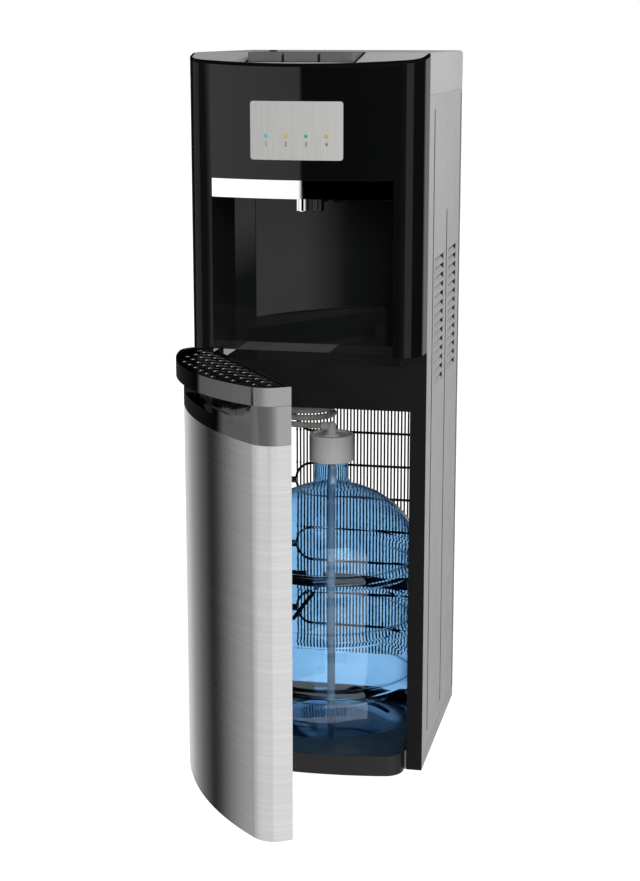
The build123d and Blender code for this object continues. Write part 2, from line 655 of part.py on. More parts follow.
def door_cap():
    """Black moulding over the steel skin: its front is scooped out for the fingers."""
    z0 = SKIN_TOP + 0.2
    cap = prism(door_plan(), z0, CAP_TOP)
    cap -= prism(door_plan(PLASTIC, DOOR_BACK - PLASTIC), 0, CAP_TOP - PLASTIC)
    grip = prism(door_plan(PLASTIC) - door_plan(19, DOOR_BACK + 1), GRIP_Z - PLASTIC, CAP_TOP - 1)
    cap += grip & box(GRIP_X0 - PLASTIC, GRIP_X1 + PLASTIC, -FAR, BOW_Y + 22, 0, FAR)
    scoop = prism(door_plan(-5) - door_plan(15, DOOR_BACK + 1), GRIP_Z, CAP_TOP + 1)
    cap -= scoop & box(GRIP_X0, GRIP_X1, -FAR, BOW_Y + 22, 0, FAR)
    block = box(-HALF, -HALF + BLOCK_W, DOOR_BACK - BLOCK_D, DOOR_BACK, z0, TRAY_TOP)
    cap += block & prism(door_plan(), z0, TRAY_TOP)
    cap -= hinge_corner(0, FAR)
    cap -= rod(HINGE_X, HINGE_Y, CAP_TOP, FAR, BUSH_R + 0.06)
    cap += latch_housing()
    cap -= latch_space(LATCH_GAP, -5, LATCH_DEPTH)
    return cap


def latch_space(grow, z_in, depth):
    y = door_surface_y(LATCH_X)
    return box(LATCH_X - LATCH_W / 2 - grow, LATCH_X + LATCH_W / 2 + grow, y + z_in, y + depth,
               LATCH_Z - LATCH_H / 2 - grow, LATCH_Z + LATCH_H / 2 + grow)


def latch_housing():
    return latch_space(PLASTIC, 4, LATCH_DEPTH + PLASTIC) & prism(door_plan(1), SKIN_TOP + 0.2, CAP_TOP)


def latch_button():
    tile = latch_space(0, -6, LATCH_DEPTH - LATCH_TRAVEL - 0.5)
    return tile & prism(door_plan(-0.4), 0, CAP_TOP)


def lip_plan(inset=0.0, y_back=DOOR_BACK):
    return bow_plan(inset, y_back, HALF, BOW_Y, LIP_SAG, DOOR_CORNER_R, 0)


def block_notch(grow=0.0):
    return box(-HALF - 1, -HALF + BLOCK_W + grow, DOOR_BACK - BLOCK_D - grow, DOOR_BACK + 2, 0, FAR)


def drip_tray():
    z0 = CAP_TOP + GAP
    outer = prism(lip_plan(), z0, TRAY_TOP) - block_notch(GAP)
    ledge = TRAY_WALL + 3.0
    mouth = prism(lip_plan(TRAY_WALL, DOOR_BACK - TRAY_WALL), TRAY_TOP - GRILLE_DROP - GRILLE_T, TRAY_TOP + 1)
    well = prism(lip_plan(ledge, DOOR_BACK - ledge), z0 + TRAY_WALL, TRAY_TOP + 1)
    return outer - (mouth - block_notch(GAP + TRAY_WALL)) - (well - block_notch(GAP + ledge))


def grille_holes():
    """Slanted oval holes in staggered rows that stop short of the grille's edge."""
    holes = []
    slot = Rot(0, 0, HOLE_TILT) * SlotOverall(HOLE_L, HOLE_W)
    columns = range(-int(HALF / HOLE_PITCH_X), int(HALF / HOLE_PITCH_X) + 1)
    rows = range(int((DOOR_BACK - BOW_Y + LIP_SAG) / HOLE_PITCH_Y))
    for j, i in ((j, i) for j in rows for i in columns):
        x, y = (i + 0.5 * (j % 2)) * HOLE_PITCH_X, DOOR_BACK - 16 - j * HOLE_PITCH_Y
        if abs(x) > HALF - TRAY_WALL - 16:
            continue
        in_notch = x < -HALF + BLOCK_W + 17 and y > DOOR_BACK - BLOCK_D - 16
        front = lip_surface_y(x) + (26 if abs(x) > HALF - 34 else 15)
        if y > front and not in_notch:
            holes.append(Pos(x, y) * slot)
    return holes


def lip_surface_y(x):
    return bow_surface_y(x, BOW_Y, LIP_SAG)


def drip_grille():
    plan = lip_plan(TRAY_WALL + 0.3, DOOR_BACK - TRAY_WALL - 0.3) - grille_holes()
    z1 = TRAY_TOP - GRILLE_DROP
    return prism(plan, z1 - GRILLE_T + 0.1, z1) - block_notch(GAP + TRAY_WALL + 0.3)


def door_bushes():
    """Flanged sleeves in the door's hinge corners, above and below."""
    sleeves = []
    for z0, z1 in ((CAP_TOP + 8, TRAY_TOP), (DOOR_BOTTOM + SKIN_T + 0.2, DOOR_BOTTOM + 14)):
        sleeve = rod(HINGE_X, HINGE_Y, z0, z1, BUSH_R)
        sleeves.append(sleeve - rod(HINGE_X, HINGE_Y, z0 - 1, z1 + 1, PIN_R + PIN_CLEAR))
    return Compound(sleeves)


def hinge_bracket_top():
    """Angle inside the panel's left pillar, with its riveted pin pointing down into the door."""
    z = BOW_BOTTOM + PLASTIC + 0.1
    arm = box(-HALF + PLASTIC + BOW_TAPER, -NICHE_HALF - 4, HINGE_Y - 9, FRONT + FRAME_T, z, z + 3)
    tab = box(-HALF + 3.4, -NICHE_HALF - 4, FRONT + FRAME_T - 2.5, FRONT + FRAME_T, z, z + 40)
    for x, screw_z in hinge_screw_places():
        tab -= rod_y(x, screw_z, FRONT - 2, PANEL_FRONT, SCREW_R + 0.1)
    return arm + tab + rod(HINGE_X, HINGE_Y, CAP_TOP + 10, z + 5, PIN_R)


def hinge_bracket_bottom():
    """Flat lug under the base pan, with its riveted pin pointing up into the door."""
    z1 = FOOT_H - 0.05
    arm = box(-HALF + 2, -HALF + 22, HINGE_Y - 9, PANEL_FRONT + 16, z1 - 3, z1)
    arm = fillet(arm.edges().filter_by(Axis.Z).sort_by(Axis.Y)[:2], 8)
    return arm + rod(HINGE_X, HINGE_Y, z1 - 4, DOOR_BOTTOM + 12, PIN_R)


def hinge_brackets():
    return Compound([hinge_bracket_top(), hinge_bracket_bottom()])


# Bottle and suction line


def bottle_outline(wall):
    """Half profile of the bottle, drawn in by its wall: foot, ribbed body, shoulder and neck."""
    r, foot = BOTTLE_R - wall, SEAT_Z + wall
    pts = [(0, foot + 14), (BOTTLE_R - 64, foot + 12), (BOTTLE_R - 30, foot), (BOTTLE_R - 16, foot)]
    pts += [(r - 6, SEAT_Z + 12), (r - 4, SEAT_Z + 30), (r, SEAT_Z + 38)]
    for z in RIB_HEIGHTS:
        pts += [(r, z - RIB_HALF), (r - RIB_DEPTH, z - RIB_HALF + 6)]
        pts += [(r - RIB_DEPTH, z + RIB_HALF - 6), (r, z + RIB_HALF)]
    shoulder = SHOULDER_Z - wall
    pts += [(r, SHOULDER_Z), (r - 15, shoulder + 38), (r - 46, shoulder + 74), (r - 80, shoulder + 89)]
    pts += [(NECK_R + 4 - wall, shoulder + 95), (NECK_R - wall, SHOULDER_Z + 101), (NECK_R - wall, NECK_TOP)]
    return pts


def bottle_solid(wall, top):
    pts = bottle_outline(wall)[:-1] + [(NECK_R - wall, top), (0, top)]
    face = Plane.XZ * make_face(Polyline(*pts, close=True))
    return Pos(0, BOTTLE_Y, 0) * revolve(face, Axis.Z)


def bottle():
    return bottle_solid(0, NECK_TOP) - bottle_solid(BOTTLE_WALL, NECK_TOP + 1)


def bottle_cap():
    cap = rod(0, BOTTLE_Y, CAP_BOTTOM, CAP_HEAD, CAP_R)
    cap = fillet(cap.faces().sort_by(Axis.Z)[-1].edges(), 1.2)
    cap -= rod(0, BOTTLE_Y, CAP_HEAD - 3, CAP_HEAD + 1, CAP_R - 4.5)
    cap -= rod(0, BOTTLE_Y, CAP_BOTTOM - 1, CAP_HEAD - 8, NECK_R + 0.4)
    return cap - rod(0, BOTTLE_Y, 0, HEIGHT, PROBE_R + 0.1)


def dip_tube():
    tube = rod(0, BOTTLE_Y, PROBE_BOTTOM, CAP_HEAD - 1.5, PROBE_R)
    tube -= rod(0, BOTTLE_Y, 0, HEIGHT, PROBE_R - 1.6)
    for i in range(3):
        tube -= rod_x(BOTTLE_Y, PROBE_BOTTOM + 8 + 9 * i, -20, 20, 2.0)
    return tube


def probe_elbow():
    """Elbow on the cap: its barb points left and takes the hose."""
    body = rod(0, BOTTLE_Y, CAP_HEAD - 1.5, ELBOW_Z, PROBE_R + 1.5)
    body += Pos(0, BOTTLE_Y, ELBOW_Z) * Sphere(PROBE_R + 1.5)
    body += rod_x(BOTTLE_Y, ELBOW_Z, ELBOW_END, 0, PROBE_R)
    body += rod(0, BOTTLE_Y, CAP_HEAD - 3, CAP_HEAD, PROBE_R + 6)
    body -= rod(0, BOTTLE_Y, 0, CAP_HEAD - 1.5, PROBE_R + 0.02)
    return body - box(-CAP_R, CAP_R, BOTTLE_Y - CAP_R, BOTTLE_Y + CAP_R, 0, CAP_HEAD - 3)


def coil_point(turn):
    a = -math.pi / 2 - 2 * math.pi * turn
    centre_y = BOTTLE_Y + COIL_R
    return (COIL_X + COIL_R * math.cos(a), centre_y + COIL_R * math.sin(a), ELBOW_Z + COIL_PITCH * turn)


def hose_end():
    x, y, z = coil_point(COIL_TURNS)
    return x, y + RISE_R, z + RISE_R


def hose_path():
    """Straight off the elbow, round the coil in eighths of a turn, and up to the deck fitting."""
    steps = 8
    start = (ELBOW_END - 0.05, BOTTLE_Y, ELBOW_Z)
    path = [Line(start, coil_point(0))]
    for i in range(1, int(COIL_TURNS * steps) + 1):
        last = path[-1]
        path.append(TangentArc(last @ 1, coil_point(i / steps), tangent=last % 1))
    path.append(TangentArc(path[-1] @ 1, hose_end(), tangent=path[-1] % 1))
    path.append(Line(path[-1] @ 1, path[-1] @ 1 + (path[-1] % 1) * (DECK_Z - 6 - hose_end()[2])))
    return Curve() + path


def suction_hose():
    """Hose swept along its path; its length and the least gap between its turns are printed."""
    path = hose_path()
    ring = Plane(origin=(ELBOW_END - 0.05, BOTTLE_Y, ELBOW_Z), z_dir=(-1, 0, 0)) * Circle(HOSE_R)
    tube = sweep(ring, path=path)
    length = sum(e.length for e in path.edges())
    ratio = tube.volume / (math.pi * HOSE_R**2 * length)
    print("hose length", round(length, 1), "volume ratio", round(ratio, 4))
    points = [path @ (i / 400) for i in range(401)]
    least = min((points[i] - points[j]).length for i in range(401) for j in range(i + 25, 401))
    print("hose least gap to itself", round(least - 2 * HOSE_R, 2))
    return tube


def hose_fitting():
    x, y, _ = hose_end()
    z0 = (hose_path() @ 1).Z + 0.05
    fitting = rod(x, y, z0, DECK_Z + 9, 7.5) + rod(x, y, z0, DECK_Z - 0.1, 12.0)
    return fitting + rod(x, y, DECK_Z + DECK_T + 0.1, DECK_Z + 6, 12.0)


# Cooling machinery


def condenser_tube():
    """Serpentine of level passes joined by half-round bends at alternate ends."""
    r = TUBE_PITCH / 2
    path = []
    for i in range(TUBE_PASSES):
        z = TUBE_TOP - i * TUBE_PITCH
        x = TUBE_HALF if i % 2 else -TUBE_HALF
        path.append(Line((-x, TUBE_Y, z), (x, TUBE_Y, z)))
        if i < TUBE_PASSES - 1:
            bulge = (x + math.copysign(r, x), TUBE_Y, z - r)
            path.append(ThreePointArc((x, TUBE_Y, z), bulge, (x, TUBE_Y, z - TUBE_PITCH)))
    wire = Wire(path)
    ring = Plane(origin=(TUBE_HALF, TUBE_Y, TUBE_TOP), z_dir=(-1, 0, 0)) * Circle(TUBE_R)
    return Pos(TUBE_X, 0, 0) * sweep(ring, path=wire)


def condenser_wires():
    """Upright wires behind the tube, all welded to it."""
    y = TUBE_Y + TUBE_R + WIRE_R + 0.02
    places = [TUBE_X + (i - (WIRE_COUNT - 1) / 2) * WIRE_PITCH for i in range(WIRE_COUNT)]
    return Compound([rod(x, y, WIRE_BOTTOM, WIRE_TOP, WIRE_R) for x in places])


def condenser_brackets():
    """Upright strip at each side with a long finger to each bend of the tube."""
    y0, y1 = TUBE_Y - 12, TUBE_Y - TUBE_R - 0.1
    strips = []
    for side, first in ((1, 1), (-1, 0)):
        x0, x1 = sorted((side * (INNER - BRACKET_W), side * INNER))
        strip = box(x0, x1, y0, y0 + 2, WIRE_BOTTOM + 30, WIRE_TOP - 20)
        tip, root = TUBE_X + side * (TUBE_HALF + TUBE_PITCH / 2 - 3), side * (INNER - BRACKET_W + 3)
        for i in range(first, TUBE_PASSES - 1, 2):
            z = TUBE_TOP - (i + 0.5) * TUBE_PITCH
            strip += box(min(tip, root), max(tip, root), y0, y1, z - 4, z + 4)
        strips.append(strip)
    return Compound(strips)


def rear_brace():
    """Black cross bar with its slanting stay, in front of the condenser."""
    y0 = TUBE_Y - 15.5
    brace = box(-INNER, INNER, y0, y0 + 2, BRACE_Z, BRACE_Z + BRACE_H)
    brace -= box(-74, -46, y0 - 1, y0 + 3, BRACE_Z + BRACE_H - 6, BRACE_Z + BRACE_H + 6)
    top, foot = Vector(-49, y0 - 2, BRACE_Z + 4), Vector(-96, y0 - 2, BRACE_Z - 60)
    middle, run = (top + foot) / 2, top - foot
    stay = Pos(*middle) * Rot(0, math.degrees(math.atan2(run.X, run.Z)), 0) * Cylinder(3.2, run.length)
    return brace + stay


def compressor():
    """Hermetic can of two pressed halves welded at a belt, on a foot plate."""
    z0 = DECK_Z + DECK_T + GROMMET_H
    can = rod(COMP_X, COMP_Y, z0 + 3, z0 + COMP_H, COMP_R)
    can = fillet(can.faces().sort_by(Axis.Z)[-1].edges(), 34)
    can = fillet(can.faces().sort_by(Axis.Z)[0].edges(), 16)
    can += rod(COMP_X, COMP_Y, z0 + 78, z0 + 86, COMP_R + 3)
    plate = box(COMP_X - 74, COMP_X + 74, COMP_Y - 62, COMP_Y + 62, z0, z0 + 3)
    for x, y in grommet_places():
        plate -= rod(x, y, z0 - 1, z0 + 4, 5.2)
    return can + plate


def grommet_places():
    return [(COMP_X + sx * 64, COMP_Y + sy * 52) for sx in (-1, 1) for sy in (-1, 1)]


def compressor_grommets():
    z0 = DECK_Z + DECK_T
    one = rod(0, 0, z0, z0 + GROMMET_H, 9.0) + rod(0, 0, z0 + GROMMET_H, z0 + GROMMET_H + 4, 5.0)
    return Compound([Pos(x, y, 0) * one for x, y in grommet_places()])


def pipe(points, radii, r):
    """Copper pipe of straight runs joined by bends."""
    route = FilletPolyline(*points, radius=radii)
    start, heading = route @ 0, route % 0
    return sweep(Plane(origin=start, z_dir=heading) * Circle(r), path=route)


def pipe_drop_y():
    return COMP_Y + COMP_R + 12.0


def discharge_pipe():
    """Copper pipe from the compressor's side down through the deck to the condenser's top pass."""
    z0 = DECK_Z + DECK_T + GROMMET_H + 50
    x = COMP_X + 20
    y_side = COMP_Y + math.sqrt(COMP_R**2 - (20 - TUBE_R) ** 2) + 0.1
    y = pipe_drop_y()
    points = [(x, y_side, z0), (x, y, z0), (PIPE_DROP_X, y, z0), (PIPE_DROP_X, y, TUBE_TOP)]
    points += [(PIPE_DROP_X, TUBE_Y, TUBE_TOP), (TUBE_X + TUBE_HALF + 0.2, TUBE_Y, TUBE_TOP)]
    return pipe(points, PIPE_BEND_R, TUBE_R)


def filter_drier():
    """Copper capsule in two steel cradles on the deck."""
    z0 = DECK_Z + DECK_T + 22
    x0, x1 = DRIER_X - DRIER_L / 2, DRIER_X + DRIER_L / 2
    body = fillet(rod_x(DRIER_Y, z0, x0, x1, DRIER_R).edges().filter_by(GeomType.CIRCLE), 5)
    for x in (x0 + 20, x1 - 26):
        body += box(x, x + 6, DRIER_Y - 8, DRIER_Y + 8, DECK_Z + DECK_T, z0)
    return body


def refrigerant_lines():
    return Compound([discharge_pipe(), filter_drier()])


def tank_shelf():
    """Steel shelf with upturned edges, above the louvres."""
    y0, y1 = NICHE_BACK_Y + NICHE_WALL + 2, BACK_Y_OUT - 6
    shelf = box(-INNER, INNER, y0, y1, SHELF_Z, SHELF_Z + DECK_T)
    for x0 in (-INNER, INNER - DECK_T):
        shelf += box(x0, x0 + DECK_T, y0, y1, SHELF_Z, SHELF_Z + 18)
    return shelf


def tank(x, r, h, z0):
    """Closed steel can with rounded rims."""
    can = fillet(rod(x, TANK_Y, z0, z0 + h, r).edges().filter_by(GeomType.CIRCLE), 8)
    inside = rod(x, TANK_Y, z0 + TANK_T, z0 + h - TANK_T, r - TANK_T)
    return can - fillet(inside.edges().filter_by(GeomType.CIRCLE), 8 - TANK_T)


def cold_tank():
    return tank(COLD_X, COLD_R, COLD_H, SHELF_Z + DECK_T + FOAM_T)


def cold_tank_foam():
    z0 = SHELF_Z + DECK_T
    r = COLD_R + 0.2
    half = r + FOAM_T
    foam = box(COLD_X - half, COLD_X + half, TANK_Y - half, TANK_Y + half, z0, z0 + COLD_H + FOAM_T)
    foam = fillet(foam.edges().filter_by(Axis.Z), 14)
    return foam - rod(COLD_X, TANK_Y, z0 + FOAM_T - 0.05, HEIGHT, r)


def hot_tank():
    """Steel tank on two welded legs."""
    z0 = SHELF_Z + DECK_T
    can = tank(HOT_X, HOT_R, HOT_H, z0 + 16)
    for x in (HOT_X - 30, HOT_X + 30):
        leg = box(x - 4, x + 4, TANK_Y - 30, TANK_Y + 30, z0, z0 + 20)
        can += leg - rod(HOT_X, TANK_Y, z0 + 16, HEIGHT, HOT_R - 1)
    return can


def pump():
    """Self-priming pump: head and motor on a moulded foot."""
    z0 = DECK_Z + DECK_T
    x, y = PUMP_X, PUMP_Y
    motor = rod_y(x, z0 + 26, y - 22, y + 34, 19.0)
    head = box(x - 22, x + 22, y - 36, y - 22, z0 + 4, z0 + 48)
    foot = box(x - 28, x + 28, y - 40, y + 40, z0, z0 + 3)
    foot += box(x - 16, x + 16, y - 12, y + 24, z0, z0 + 20)
    ports = [rod(x + dx, y - 29, z0 + 48, z0 + 60, 4.0) for dx in (-12, 12)]
    return motor + head + foot + ports


def control_board():
    """Circuit board on four posts inside the right-hand panel, above the tank shelf."""
    x0 = INNER - 12
    z0 = SHELF_Z + 32
    board = box(x0, x0 + 1.6, -60, 60, z0, z0 + 110)
    chips = [box(x0 - h, x0, y - w, y + w, z0 + z - w, z0 + z + w) for y, z, w, h in
             ((-30, 30, 9, 14), (-2, 35, 7, 12), (26, 40, 10, 12), (-20, 80, 8, 8), (20, 84, 12, 5))]
    posts = [rod_x(y, z0 + z, x0 + 1.6, HALF - SHEET - 0.1, 3) for y in (-54, 54) for z in (6, 104)]
    return board + chips + posts


# Rear


def back_panel():
    """Rear sheet with vent slots and cut-outs for the switches, the inlet and the drain."""
    y0, y1 = BACK_Y_OUT - 3, BACK_Y_OUT + 1
    panel = box(-INNER, INNER, BACK_Y_OUT - 1.2, BACK_Y_OUT, DECK_Z + 2, SKIRT_Z - 6)
    for x, i in ((x, i) for x in (-55, 55) for i in range(VENT_COUNT)):
        z = VENT_BOTTOM + VENT_PITCH * i
        panel -= box(x - 35, x + 35, y0, y1, z, z + 4)
    holes = [(x, SWITCH_Z, SWITCH_W / 2 + 2, SWITCH_H / 2 + 2) for x in SWITCH_X]
    holes += [(INLET_X, INLET_Z, INLET_W / 2 + 0.4, INLET_H / 2 + 0.4)]
    for x, z, w, h in holes:
        panel -= box(x - w, x + w, y0, y1, z - h, z + h)
    for x, z in panel_screw_places():
        panel -= rod_y(x, z, y0, y1, SCREW_R + 0.1)
    return panel - rod_y(DRAIN_X, DRAIN_Z, y0, y1, DRAIN_R + 0.2)


def switch_bezels():
    def layer(x, grow, y0, y1):
        w, h = SWITCH_W / 2 + grow, SWITCH_H / 2 + grow
        return box(x - w, x + w, BACK_Y_OUT + y0, BACK_Y_OUT + y1, SWITCH_Z - h, SWITCH_Z + h)

    return Compound([layer(x, 4, 0.1, 2) + layer(x, 1.8, -20, 1) - layer(x, 0.4, -12, 3) for x in SWITCH_X])


def rocker(x):
    """Rocker key, tilted to its ON side, turning about a level axis behind the panel."""
    tip = SWITCH_H / 2 - 0.6
    outline = Polyline((-5.0, -6), (2.6, -tip), (0.6, 0), (2.6, tip), (-5.0, 6), close=True)
    face = Plane.YZ * make_face(outline)
    key = Pos(x - SWITCH_W / 2, 0, 0) * extrude(face, SWITCH_W, dir=(1, 0, 0))
    return Pos(0, BACK_Y_OUT - 2, SWITCH_Z) * Rot(8, 0, 0) * key


def power_inlet():
    """Flanged socket with three flat pins for a mains lead."""
    def layer(x, z, w, h, y0, y1):
        x, z = INLET_X + x, INLET_Z + z
        return box(x - w, x + w, BACK_Y_OUT + y0, BACK_Y_OUT + y1, z - h, z + h)

    w, h = INLET_W / 2, INLET_H / 2
    body = layer(0, 0, w + 3.4, h + 3.4, 0.1, 3) + layer(0, 0, w, h, -22, 1)
    body -= layer(0, 0, w - INLET_WALL, h - INLET_WALL, -16, 4)
    for dx, dz in ((-7, -1.5), (7, -1.5), (0, 2.5)):
        body += layer(dx, dz, 1, 2, -17, -3)
    return body


def drain_spout():
    spout_body = rod_y(DRAIN_X, DRAIN_Z, BACK_Y_OUT - 30, BACK_Y_OUT + 14, DRAIN_R)
    spout_body += rod_y(DRAIN_X, DRAIN_Z, BACK_Y_OUT + 0.1, BACK_Y_OUT + 2.5, DRAIN_R + 4)
    return spout_body - rod_y(DRAIN_X, DRAIN_Z, BACK_Y_OUT - 31, BACK_Y_OUT + 15, DRAIN_R - 3)


def drain_plug():
    """Ribbed plug that pulls straight off the drain."""
    y0 = BACK_Y_OUT + 14.2
    head = rod_y(DRAIN_X, DRAIN_Z, y0, y0 + 8, DRAIN_R + 2.5)
    ribs, r = 12, DRAIN_R + 2.7
    for i in range(ribs):
        a = 2 * math.pi * i / ribs
        head -= rod_y(DRAIN_X + r * math.cos(a), DRAIN_Z + r * math.sin(a), y0 - 1, y0 + 9, 1.0)
    return head + rod_y(DRAIN_X, DRAIN_Z, BACK_Y_OUT, y0, DRAIN_R - 3.1)


def screws():
    """Back panel screws in the side panels' rear flanges, and the upper hinge's screws."""
    group = [screw(x, BACK + 0.05, z, (-90, 0, 0)) for x, z in panel_screw_places()]
    group += [screw(x, FRONT + FRAME_T - 2.55, z, (90, 0, 0)) for x, z in hinge_screw_places()]
    return Compound(group)


ROOT_PARTS = {
    "feet": feet, "base_pan": base_pan, "bottle_base": bottle_base, "front_frame": front_frame,
    "left_side_panel": lambda: side_panel(-1), "right_side_panel": lambda: side_panel(1),
    "mid_deck": mid_deck, "bow_panel": bow_panel, "trim_band": trim_band,
    "indicator_plate": indicator_plate, "indicator_lamps": indicator_lamps, "lamp_board": lamp_board,
    "niche_liner": niche_liner, "spout_hot": lambda: spout(-SPOUT_X, False),
    "spout_cold": lambda: spout(SPOUT_X, True), "spout_manifold": spout_manifold, "tap_valves": tap_valves,
    "valve_bridge": valve_bridge, "top_cover": top_cover, "button_rim": button_rim, "child_lock": child_lock,
    "hinge_brackets": hinge_brackets, "magnet_catch": magnet_catch, "bottle": bottle, "bottle_cap": bottle_cap,
    "dip_tube": dip_tube, "probe_elbow": probe_elbow, "suction_hose": suction_hose,
    "hose_fitting": hose_fitting, "condenser_tube": condenser_tube, "condenser_wires": condenser_wires,
    "condenser_brackets": condenser_brackets, "rear_brace": rear_brace, "compressor": compressor,
    "compressor_grommets": compressor_grommets, "refrigerant_lines": refrigerant_lines,
    "tank_shelf": tank_shelf, "cold_tank": cold_tank,
    "cold_tank_foam": cold_tank_foam, "hot_tank": hot_tank, "pump": pump, "control_board": control_board,
    "back_panel": back_panel, "switch_bezels": switch_bezels, "power_inlet": power_inlet,
    "drain_spout": drain_spout, "drain_plug": drain_plug, "screws": screws,
}
for button_name, button_x in zip(BUTTON_NAMES, valve_xs()):
    ROOT_PARTS[button_name] = lambda x=button_x: button(x)
for number, switch_x in enumerate(SWITCH_X, 1):
    ROOT_PARTS[f"rocker_{number}"] = lambda x=switch_x: rocker(x)

DOOR_PARTS = {
    "door_skin": door_skin, "door_liner": door_liner, "door_cap": door_cap, "drip_tray": drip_tray,
    "drip_grille": drip_grille, "latch_button": latch_button, "door_bushes": door_bushes,
}

if __name__ == "__main__":
    os.makedirs("parts", exist_ok=True)
    from_foot = Pos(HALF - FOOT_INSET_X, BACK - FOOT_INSET_Y, 0)
    for name, make in ROOT_PARTS.items():
        export_step(from_foot * make(), f"parts/{name}.step")
    for name, make in DOOR_PARTS.items():
        export_step(from_foot * opened(make()), f"parts/{name}.step")
    print(len(ROOT_PARTS) + len(DOOR_PARTS), "nodes")
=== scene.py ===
import math

import bmesh
import bpy
from mathutils import Matrix, Vector


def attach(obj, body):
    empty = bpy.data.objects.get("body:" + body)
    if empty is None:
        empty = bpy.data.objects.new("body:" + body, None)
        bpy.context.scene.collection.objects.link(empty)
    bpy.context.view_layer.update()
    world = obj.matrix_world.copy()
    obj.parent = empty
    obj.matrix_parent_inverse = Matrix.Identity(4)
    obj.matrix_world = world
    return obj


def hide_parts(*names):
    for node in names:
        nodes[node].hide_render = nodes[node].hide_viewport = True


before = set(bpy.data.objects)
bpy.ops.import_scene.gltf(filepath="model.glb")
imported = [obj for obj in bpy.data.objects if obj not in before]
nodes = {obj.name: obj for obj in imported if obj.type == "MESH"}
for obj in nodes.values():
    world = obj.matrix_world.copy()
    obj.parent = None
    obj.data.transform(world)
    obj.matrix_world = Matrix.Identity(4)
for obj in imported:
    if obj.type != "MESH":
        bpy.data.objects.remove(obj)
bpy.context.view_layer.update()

# ---------------------------------------------------------------------------
# The photographer's camera: a short tele lens at chest height, a little to the
# right of the cooler and tipped down, so the top and the right side both show.
# ---------------------------------------------------------------------------
LENS, SENSOR = 74.79, 36.0
CAMERA_PLACE, CAMERA_TIP, CAMERA_TURN = (0.6774, -2.5274, 1.0690), 12.624, 12.123

camera = bpy.data.objects.new("camera", bpy.data.cameras.new("camera"))
bpy.context.scene.collection.objects.link(camera)
camera.data.lens = LENS
camera.data.sensor_width = SENSOR
camera.location = CAMERA_PLACE
camera.rotation_euler = (math.radians(90 - CAMERA_TIP), 0, math.radians(CAMERA_TURN))
bpy.context.scene.camera = camera


# ---------------------------------------------------------------------------
# Suction hose: a length of clear silicone tube that leaves the probe's barb,
# lies in two and a quarter slack turns under the deck and rises to its fitting.
# The slack lets the probe be lifted out of an empty bottle.
# ---------------------------------------------------------------------------
def linear(hex_code):
    """A colour written as sRGB hex, as Blender's linear values."""
    channels = [int(hex_code[i:i + 2], 16) / 255 for i in (1, 3, 5)]
    return [c / 12.92 if c <= 0.04045 else ((c + 0.055) / 1.055) ** 2.4 for c in channels] + [1.0]


def add(tree, kind, inputs=None, feeds=None, stops=(), **settings):
    """Adds a node with its settings and links, and returns its outputs.

    inputs maps a socket to a value or to another node's output, feeds is a
    socket that the first output goes to, and stops are a ramp's places, in
    rising order, each with a hex colour or a grey level.
    """
    node = tree.nodes.new(kind)
    for key, value in settings.items():
        setattr(node, key, value)
    for key, value in (inputs or {}).items():
        if isinstance(value, bpy.types.NodeSocket):
            tree.links.new(value, node.inputs[key])
        else:
            node.inputs[key].default_value = value
    for i, (place, colour) in enumerate(stops):
        ramp = node.color_ramp.elements
        stop = ramp[i] if i < 2 else ramp.new(place)
        stop.position = place
        stop.color = linear(colour) if isinstance(colour, str) else (colour, colour, colour, 1)
    if feeds is not None:
        tree.links.new(node.outputs[0], feeds)
    return node.outputs


def grain(tree, scale, detail=2.0, stretch=(1, 1, 1)):
    """Noise on the piece's own coordinates, with features about 1/scale metres wide."""
    place = add(tree, "ShaderNodeTexCoord")["Object"]
    turned = add(tree, "ShaderNodeMapping", {"Vector": place, "Scale": stretch})[0]
    return add(tree, "ShaderNodeTexNoise", {"Vector": turned, "Scale": scale, "Detail": detail})["Fac"]


# Most of a noise lies between these two values.
NOISE_LOW, NOISE_HIGH = 0.3, 0.7


def finish(name, shades=None, patches=None, sheen=None, texture=None, **surface):
    """A surface in two close shades, with uneven gloss and a fine texture.

    Each is noise, given by its scale and detail: patches for the shades, sheen
    with its lowest and highest roughness, texture with its depth in metres.
    surface holds the shader's constants. Returns the material, its node tree
    and its shader.
    """
    made = bpy.data.materials.new(name)
    made.use_nodes = True
    tree, shader = made.node_tree, made.node_tree.nodes["Principled BSDF"]
    for key, value in surface.items():
        shader.inputs[key.replace("_", " ")].default_value = value
    if shades:
        add(tree, "ShaderNodeValToRGB", {"Fac": grain(tree, *patches)}, shader.inputs["Base Color"],
            zip((NOISE_LOW, NOISE_HIGH), shades))
    if sheen:
        scale, detail, low, high = sheen
        add(tree, "ShaderNodeMapRange", {
            "Value": grain(tree, scale, detail), "From Min": NOISE_LOW, "From Max": NOISE_HIGH,
            "To Min": low, "To Max": high}, shader.inputs["Roughness"])
    if texture:
        scale, detail, depth = texture
        add(tree, "ShaderNodeBump", {"Height": grain(tree, scale, detail), "Distance": depth},
            shader.inputs["Normal"])
    return made, tree, shader


def paint(node_names, made):
    """Gives CAD nodes a material."""
    for name in node_names:
        mesh = nodes[name].data
        mesh.materials.clear()
        mesh.materials.append(made)


# The frame's origin is under the front left foot; this is the middle of the cabinet's footprint.
MIDDLE_X, MIDDLE_Y = 0.128, 0.1275
BOTTLE_X, BOTTLE_Y = MIDDLE_X, MIDDLE_Y - 0.014
HOSE_D, HOSE_LENGTH = 0.009, 0.828
ELBOW_END, ELBOW_Z, BARB_RUN = MIDDLE_X - 0.015, 0.487, (0.0, 0.015, 0.031)
COIL_X, COIL_R, COIL_PITCH, COIL_TURNS = MIDDLE_X - 0.060, 0.052, 0.011, 2.25
PER_TURN = 16
# From the last turn back and up into the deck's fitting.
RISE = ((0.013, 0.002), (0.0245, 0.009), (0.028, 0.019), (0.028, 0.0315))

